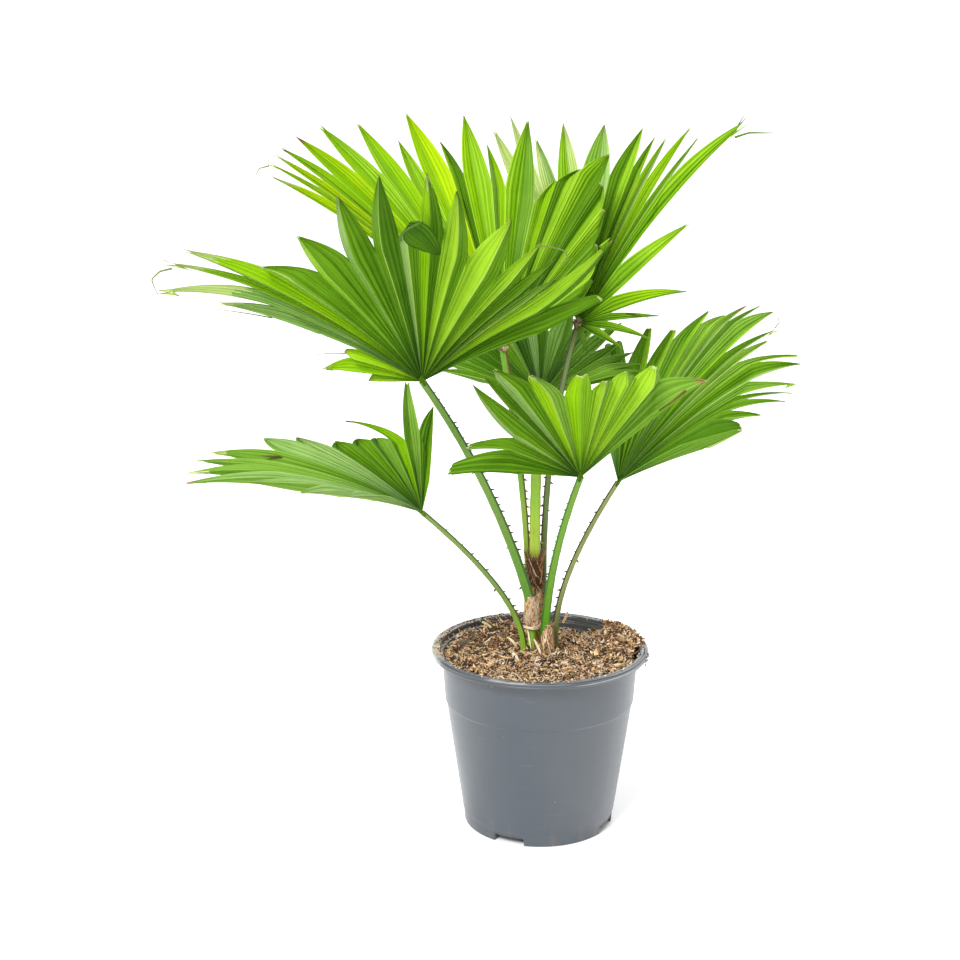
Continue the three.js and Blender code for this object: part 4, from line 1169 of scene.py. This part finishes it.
def fan(leaf, dealt, seed):
    """The pleated sheet as a grid per segment: rows from hub to tip, columns across, the middle
    one a narrow midrib. Joined rows run between the parting lines. In the free rows, at part f
    of the way, the segment leans towards its tip by f to the power LEAN, its width falls as
    one less f to the power TAPER, and a forked end opens in the last seventh. Each half is
    lifted at its edge and sunk at its rib. Returns points, faces, two maps and the finish of
    each face."""
    tips, reach = np.array(leaf["lobes"], float).T
    lines, parting = np.array(leaf["partings"], float).T
    count = len(reach)
    order = np.arange(count)
    b = np.arange(count + 1)
    wide = lines[np.minimum(b + 1, count)] - lines[np.maximum(b - 1, 0)]
    half_line = np.tan(np.radians(wide / np.where((b > 0) & (b < count), 4, 2)))
    rib = (lines[:-1] + lines[1:]) / 2
    half = np.tan(np.radians(np.diff(lines) / 2))
    end = np.array([leaf["blunt"].get(i, 0.0) for i in range(count)])
    fork = np.array([dealt["fork"].get(i, 0.0) for i in range(count)])
    fork = np.where((fork == 0) & (end == 0), 5 * vary(seed + order * 2.3), fork)[:, None, None]

    low_rows, free_rows = 20, 34
    side_u = np.linspace(RIB_HALF, 1, 8)
    u = np.concatenate([-side_u[::-1], side_u])
    columns = len(u)
    q = (np.arange(low_rows) / low_rows)[None, :, None]
    f = (np.arange(free_rows + 1) / free_rows)[None, :, None]
    left, right = parting[:-1], parting[1:]
    side_parting = np.where(u < 0, left[:, None], right[:, None])[:, None, :]
    side_half = np.where(u < 0, half_line[:-1, None], half_line[1:, None])[:, None, :]
    mid_parting = ((left + right) / 2)[:, None, None]
    full, own_half, end_part = (v[:, None, None] for v in (reach, half, end))
    out = np.abs(u)[None, None, :]
    dip = end_part * BLUNT_DIP * (2 - 2 * np.sqrt(1 - 0.97 * out ** 2))

    low_s = q * (side_parting * out + mid_parting * (1 - out))
    low_turn = u[None, None, :] * np.degrees(np.arctan(own_half)) + 0 * q
    low_lift = FOLD * (out * side_half * q * side_parting - (1 - out) * own_half * q * mid_parting)

    shrink = end_part + (1 - end_part) * (1 - f ** TAPER)
    opening = np.clip((f - 0.86) / 0.14, 0, 1) * fork
    torn = (vary(seed * 3 + order[:, None] * 17 + np.arange(columns)) - 0.5)[:, None, :]
    edge_s = side_parting + (full - side_parting) * f
    rib_s = mid_parting + (full - mid_parting) * f - opening
    free_s = edge_s * out + rib_s * (1 - out) + (torn * end_part * 3 * f ** 4 - dip) * f
    width = np.maximum(0.2, side_parting * own_half * shrink) + 0.09 * opening
    lean = (tips - rib)[:, None, None] * f ** LEAN
    free_turn = lean + np.degrees(u[None, None, :] * width / free_s)
    blend = 1 - (1 - f) ** 2
    edge_half = side_half * (1 - blend) + own_half * blend
    free_lift = ((FOLD - 0.14 * f) * (out * side_parting * edge_half * shrink - (1 - out) * width)
                 + 9 * (vary(seed + order * 7.9)[:, None, None] - 0.5) * f ** 2)

    s = np.concatenate([low_s, free_s], 1)
    turn = np.concatenate([low_turn, free_turn], 1)
    span = np.concatenate([side_parting * own_half * q + 0 * out, width + 0 * out], 1)
    lift = np.concatenate([low_lift, free_lift], 1) + 0.10 * span * np.sin(np.pi * out)
    points = blade_points(leaf, rib[:, None, None] + turn, s, lift)
    rows = low_rows + free_rows + 1
    faces = repeated(grid_faces(rows, columns), rows * columns, count)
    part = np.clip(s / full, 0, 1)
    across = (u[None, None, :] + 1) / 2 + 0 * s
    fan_map = np.stack([across, part], -1).reshape(-1, 2)
    own = vary(seed * 7 + order * 3.7)[:, None, None] + 0 * s
    lobe_map = np.stack([own, dealt["shade"] + 0 * s], -1).reshape(-1, 2)

    names = list(BLADE_COLOURS)
    # Each half's colour from the list, which paints light and shade on the pleats besides the leaf's
    # own tone.
    lit_and_shaded_halves = [pair.split() for pair in dealt["halves_lit_and_shaded"].split(",")]
    lit_and_shaded_halves = np.array([[names.index(name) for name in pair] for pair in lit_and_shaded_halves])
    column = np.arange(columns - 1)
    pick = lit_and_shaded_halves[:, (column > columns // 2 - 1).astype(int)][:, None]
    pick = pick + np.zeros((1, rows - 1, 1), int)
    jag = vary(order[:, None, None] * 5 + column * 1.7) - 0.5
    at = part[:, :-1, :-1]
    for i, (start, name) in dealt["ends"].items():
        pick[i] = np.where(at[i] + (0.02 if name == "dry" else 0.08) * jag[i] > start,
                           names.index(name), pick[i])
    pick[:, :, columns // 2 - 1] = names.index("rib")
    slim = ((end == 0) & ((left + right) / 2 < 0.8 * reach))[:, None, None]
    tip_name = np.where(slim, names.index("dry"), names.index("pale"))
    pick = np.where(at > 0.985, tip_name, pick)
    return points.reshape(-1, 3), faces, {"fan": fan_map, "lobe": lobe_map}, pick.ravel()


def blade_finish(name, dark, light, glow):
    """Living blade in one shade: darker and lighter by segment at random, with painted shade
    towards the hub, fine veins along the segment and pale fold lines. A share of the light comes
    through as glow."""
    made = Finish("blade_" + name, light, 0.5, {"Specular IOR Level": 0.07})
    fan_at = made.node("ShaderNodeUVMap", {"uv_map": "fan"})
    lobe_at = made.node("ShaderNodeUVMap", {"uv_map": "lobe"})
    across, along = made.axis(fan_at, 0), made.axis(fan_at, 1)
    own, shade = made.axis(lobe_at, 0), made.axis(lobe_at, 1)
    vein_at = made.node("ShaderNodeCombineXYZ", {}, across * 26.0, along * 0.8, own * 9.0)
    vein = made.noise(vein_at, 1.0, 3.0, 0.6)
    fine = made.noise(made.node("ShaderNodeCombineXYZ", {}, across * 70.0, along * 2.0, own * 5.0),
                      1.0, 2.0)
    cloud = made.noise(made.place(), 28.0, 3.0)
    ridge = (across * 44.0).math("SINE", across * 44.0)
    tone = cloud * 0.9 + own * 0.6 + (vein - 0.5) * 3.2 + (along - 0.5) * 0.5 + ridge * 0.16 - 0.25
    skin = made.mix(tone.above(0.1, 0.8), dark, light)
    # Painted shade: darker towards the hub, over the part of the segment that the leaf's shade gives.
    hub_shade = (1.0 - along / shade).above(0.0, 1.0)
    skin = made.mix(hub_shade * 0.9 - 0.1 * vein, skin, (dark[0] * 0.3, dark[1] * 0.42, dark[2] + 0.004))
    edge = (across - 0.5).math("ABSOLUTE", across - 0.5)
    fold_line = edge.above(0.46, 0.02) * (1 - along.above(0.6, 0.1) * 0.4)
    skin = made.mix(fold_line * 0.55, skin, tuple(min(1.0, c * 1.3 + 0.04) for c in light))
    made.wear(colour=skin, roughness=0.44 + (fine - 0.5) * 0.2 + cloud * 0.1,
              height=vein * 0.8 + fine * 0.35 + ridge * 0.5, depth=0.0009)
    through = made.node("ShaderNodeBsdfTranslucent", {}, Color=glow)
    both = made.node("ShaderNodeMixShader", {}, LIGHT_THROUGH)
    made.tree.links.new(made.shader.outputs[0], both.socket.node.inputs[1])
    made.tree.links.new(through.socket, both.socket.node.inputs[2])
    made.tree.links.new(both.socket, made.tree.nodes["Material Output"].inputs["Surface"])
    return made.material


blade_finishes = [blade_finish(name, *colours) for name, colours in BLADE_COLOURS.items()]
for blade_seed, (key, leaf) in enumerate(LEAVES.items()):
    leaf["blunt"] = {**leaf["blunt"], **FINER_ENDS.get(key, {})}
    points, faces, maps, pick = fan(leaf, DEALT[key], blade_seed * 60 + 7)
    blade = mesh_object("fan_blade_" + key, points, faces, blade_finishes, pick=pick,
                        maps=maps, weld=2e-5)
    wall = blade.modifiers.new("thickness", "SOLIDIFY")
    wall.thickness = BLADE_THICK * 0.001
    wall.offset = 0
    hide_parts("frond_" + key)
    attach(blade, "root")

# Loose ends on the leaves. Torn and folded bits that hang from the blades: a flap folded over
# on the large front leaf, dry threads that trail from the tips and a scrap under one hub. A knot
# joins each blade to its stalk, with a tuft of brown fibre on the two tall back leaves.

THREADS = [  # leaf, finish, width at start and end, then degrees, distance and lift along it
    ("a", "pale", (2.2, 0.6), [(54, 262, 0), (55, 272, -2), (57, 276, -4), (60, 262, -9)]),
    ("a", "pale", (1.6, 0.5), [(61, 150, -2), (61.5, 184, -5), (61, 206, -9)]),
    ("a", "glaucous", (2.8, 1.6), [(0.2, 174, -11), (-0.2, 182, -13), (-1.4, 189.5, -14),
                                   (-3.9, 196.5, -14), (-5.7, 197, -10)]),
    ("a", "pale", (2.0, 0.7), [(-33, 196, 0), (-35, 206, -3), (-38, 213, -5), (-40, 207, -8),
                               (-39, 199, -9)]),
    ("a", "dry", (1.2, 0.5), [(71, 74, 0), (73, 90, -3), (75, 102, -6)]),
    ("f", "dry", (1.2, 0.4), [(55, 50, 2), (60, 64, 3), (65, 80, 3)]),
    ("f", "lime", (3.0, 0.8), [(1, 300, 2), (2.4, 316, 3), (4.6, 326, 4), (6, 336, 3)]),
    ("f", "dry", (1.3, 0.4), [(-0.6, 322, 2), (-1, 336, 3), (-1.2, 344, 4)]),
    ("b", "dry", (2.2, 0.5), [(20, 118, -3), (18.5, 140, -6), (16.5, 172, -9), (15, 188, -9)]),
    ("b", "dry", (3.2, 1.0), [(3.5, 150, 2), (1.5, 164, 4), (0, 172, 6)]),
    ("c", "dry", (3.6, 1.2), [(-47, 128, -3), (-46, 112, -5), (-44, 98, -6)]),
    ("e", "pale", (1.6, 0.4), [(-44, 316, 1), (-45.4, 322, 3), (-47.5, 318, 5)]),
    ("d", "lime", (1.6, 0.4), [(-13, 270, 1), (-13.4, 282, 3), (-14.6, 290, 6)]),
]
FLAP = [  # degrees, distance, lift and width
    (-1.5, 190, -10, 13), (-2.6, 187, -11, 24), (-4.2, 182.5, -12, 27), (-5.8, 176.5, -12.5, 24),
    (-7.6, 169, -12, 17), (-9.2, 163, -10.5, 10), (-10.3, 158, -9, 3),
]
TUFT = 64
RIBBON_SIDES = 10
SCRAP_SIDES = 8
TUFT_SIDES = 5
KNOT_SIDES = 12


def ribbon(leaf, marks, wide, flat):
    """One strip that runs through marks (degrees, distance, lift on the blade), a row of wide
    widths in mm, flat times as thick as it is wide."""
    marks = np.array(marks, float)
    t = np.linspace(0, len(marks) - 1, 26)
    phi, s, lift = (np.interp(t, np.arange(len(marks)), column) for column in marks.T)
    line = blade_points(leaf, phi, s, lift)
    line[1:-1] = (line[:-2] + 2 * line[1:-1] + line[2:]) / 4
    wide = np.interp(t, np.linspace(0, len(marks) - 1, len(wide)), wide)
    return tubes(line[None], wide[None], flat, RIBBON_SIDES, up=blade_frame(leaf)[2])


def cap(leaf):
    """The knot where the blade sits on its stalk: a short tube from the stalk's end into the
    blade's middle line, as wide as the stalk."""
    middle = blade_frame(leaf)[0]
    hub = np.array(leaf["hub"], float)
    along = stalk_line(leaf, [1.0])[1][0]
    line = np.stack([hub - 4.5 * along, hub - 1.0 * along, hub + 3.0 * middle, hub + 7.0 * middle])
    wide = leaf["radii"][1] * np.array([1.8, 2.1, 1.6, 0.5])
    return tubes(line[None], wide[None], 0.8, KNOT_SIDES, up=blade_frame(leaf)[2])


def collar(rng, leaf):
    """A rough tuft of short fibres round the hub on the blade's upper face, from up to 3.8 mm
    off its middle and each leaning outward."""
    middle, side, face = blade_frame(leaf)
    a = rng.uniform(0, 2 * np.pi, TUFT)[:, None, None]
    t = np.linspace(0, 1, 6)[None, :, None]
    spot = np.cos(a) * middle + np.sin(a) * side
    r = rng.uniform(0.0, 3.8, (TUFT, 1, 1))
    line = np.array(leaf["hub"], float) + spot * (r + 2.6 * t) + face * (2.4 + 1.6 * t - 1.2 * t ** 2)
    line = line + np.cross(face, spot) * (rng.uniform(-2.5, 2.5, (TUFT, 1, 1)) * t)
    wide = rng.uniform(0.7, 1.5, (TUFT, 1)) * (1.02 - t[..., 0] ** 3)
    return tubes(line, wide, 0.7, TUFT_SIDES, up=face)


def wrapped(count, sides):
    """A tube's map: across runs from 0 to 1 and back round a ring, along from 0.45 to 1."""
    ring, step = np.divmod(np.arange(count), sides)
    return np.stack([0.5 + 0.5 * np.cos(step * 2 * np.pi / sides), 0.45 + 0.55 * ring / ring[-1]], -1)


bits = {}
colour_names = list(BLADE_COLOURS)
bit_finishes = blade_finishes + [
    fibre_finish("hub_fibre", (0.03, 0.018, 0.006), (0.2, 0.135, 0.05)),
    fibre_finish("hub_fibre_pale", (0.16, 0.11, 0.04), (0.5, 0.4, 0.2)),
]
for key, finish_name, (start, end), marks in THREADS:
    strip = ribbon(LEAVES[key], marks, (start, (start + end) / 2, end), 0.35)
    bits.setdefault(key, []).append((*strip, colour_names.index(finish_name), RIBBON_SIDES))
flap = ribbon(LEAVES["a"], [mark[:3] for mark in FLAP], [mark[3] for mark in FLAP], 0.05)
bits["a"].append((*flap, colour_names.index("deep"), RIBBON_SIDES))
scrap_line = np.array([(0, 0, 0), (1, -4, -3), (4, -5, -12), (7, -5, -20), (9, -5, -26)], float)
scrap = tubes(np.array(LEAVES["f"]["hub"], float) + scrap_line[None],
              np.array([[2.0, 5.5, 7.0, 4.0, 1.0]]), 0.14, SCRAP_SIDES, up=(0, -1, 0))
bits["f"].append((*scrap, colour_names.index("fresh"), SCRAP_SIDES))
for key in ("e", "f"):
    for tuft in (0, 1):
        fibre = collar(np.random.default_rng(80 + tuft), LEAVES[key])
        bits[key].append((*fibre, len(colour_names) + tuft, TUFT_SIDES))
for key, leaf in LEAVES.items():
    bits.setdefault(key, []).append((*cap(leaf), colour_names.index("mid"), KNOT_SIDES))
for key, parts in bits.items():
    points, faces, pick = joined(parts)
    bit_map = np.concatenate([wrapped(len(part[0]), part[3]) for part in parts])
    own_map = np.full((len(points), 2), (0.3, 0.4))
    bit = mesh_object("leaf_bits_" + key, points, faces, bit_finishes,
                      pick=pick, maps={"fan": bit_map, "lobe": own_map}, weld=1e-7)
    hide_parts("frond_" + key)
    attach(bit, "root")
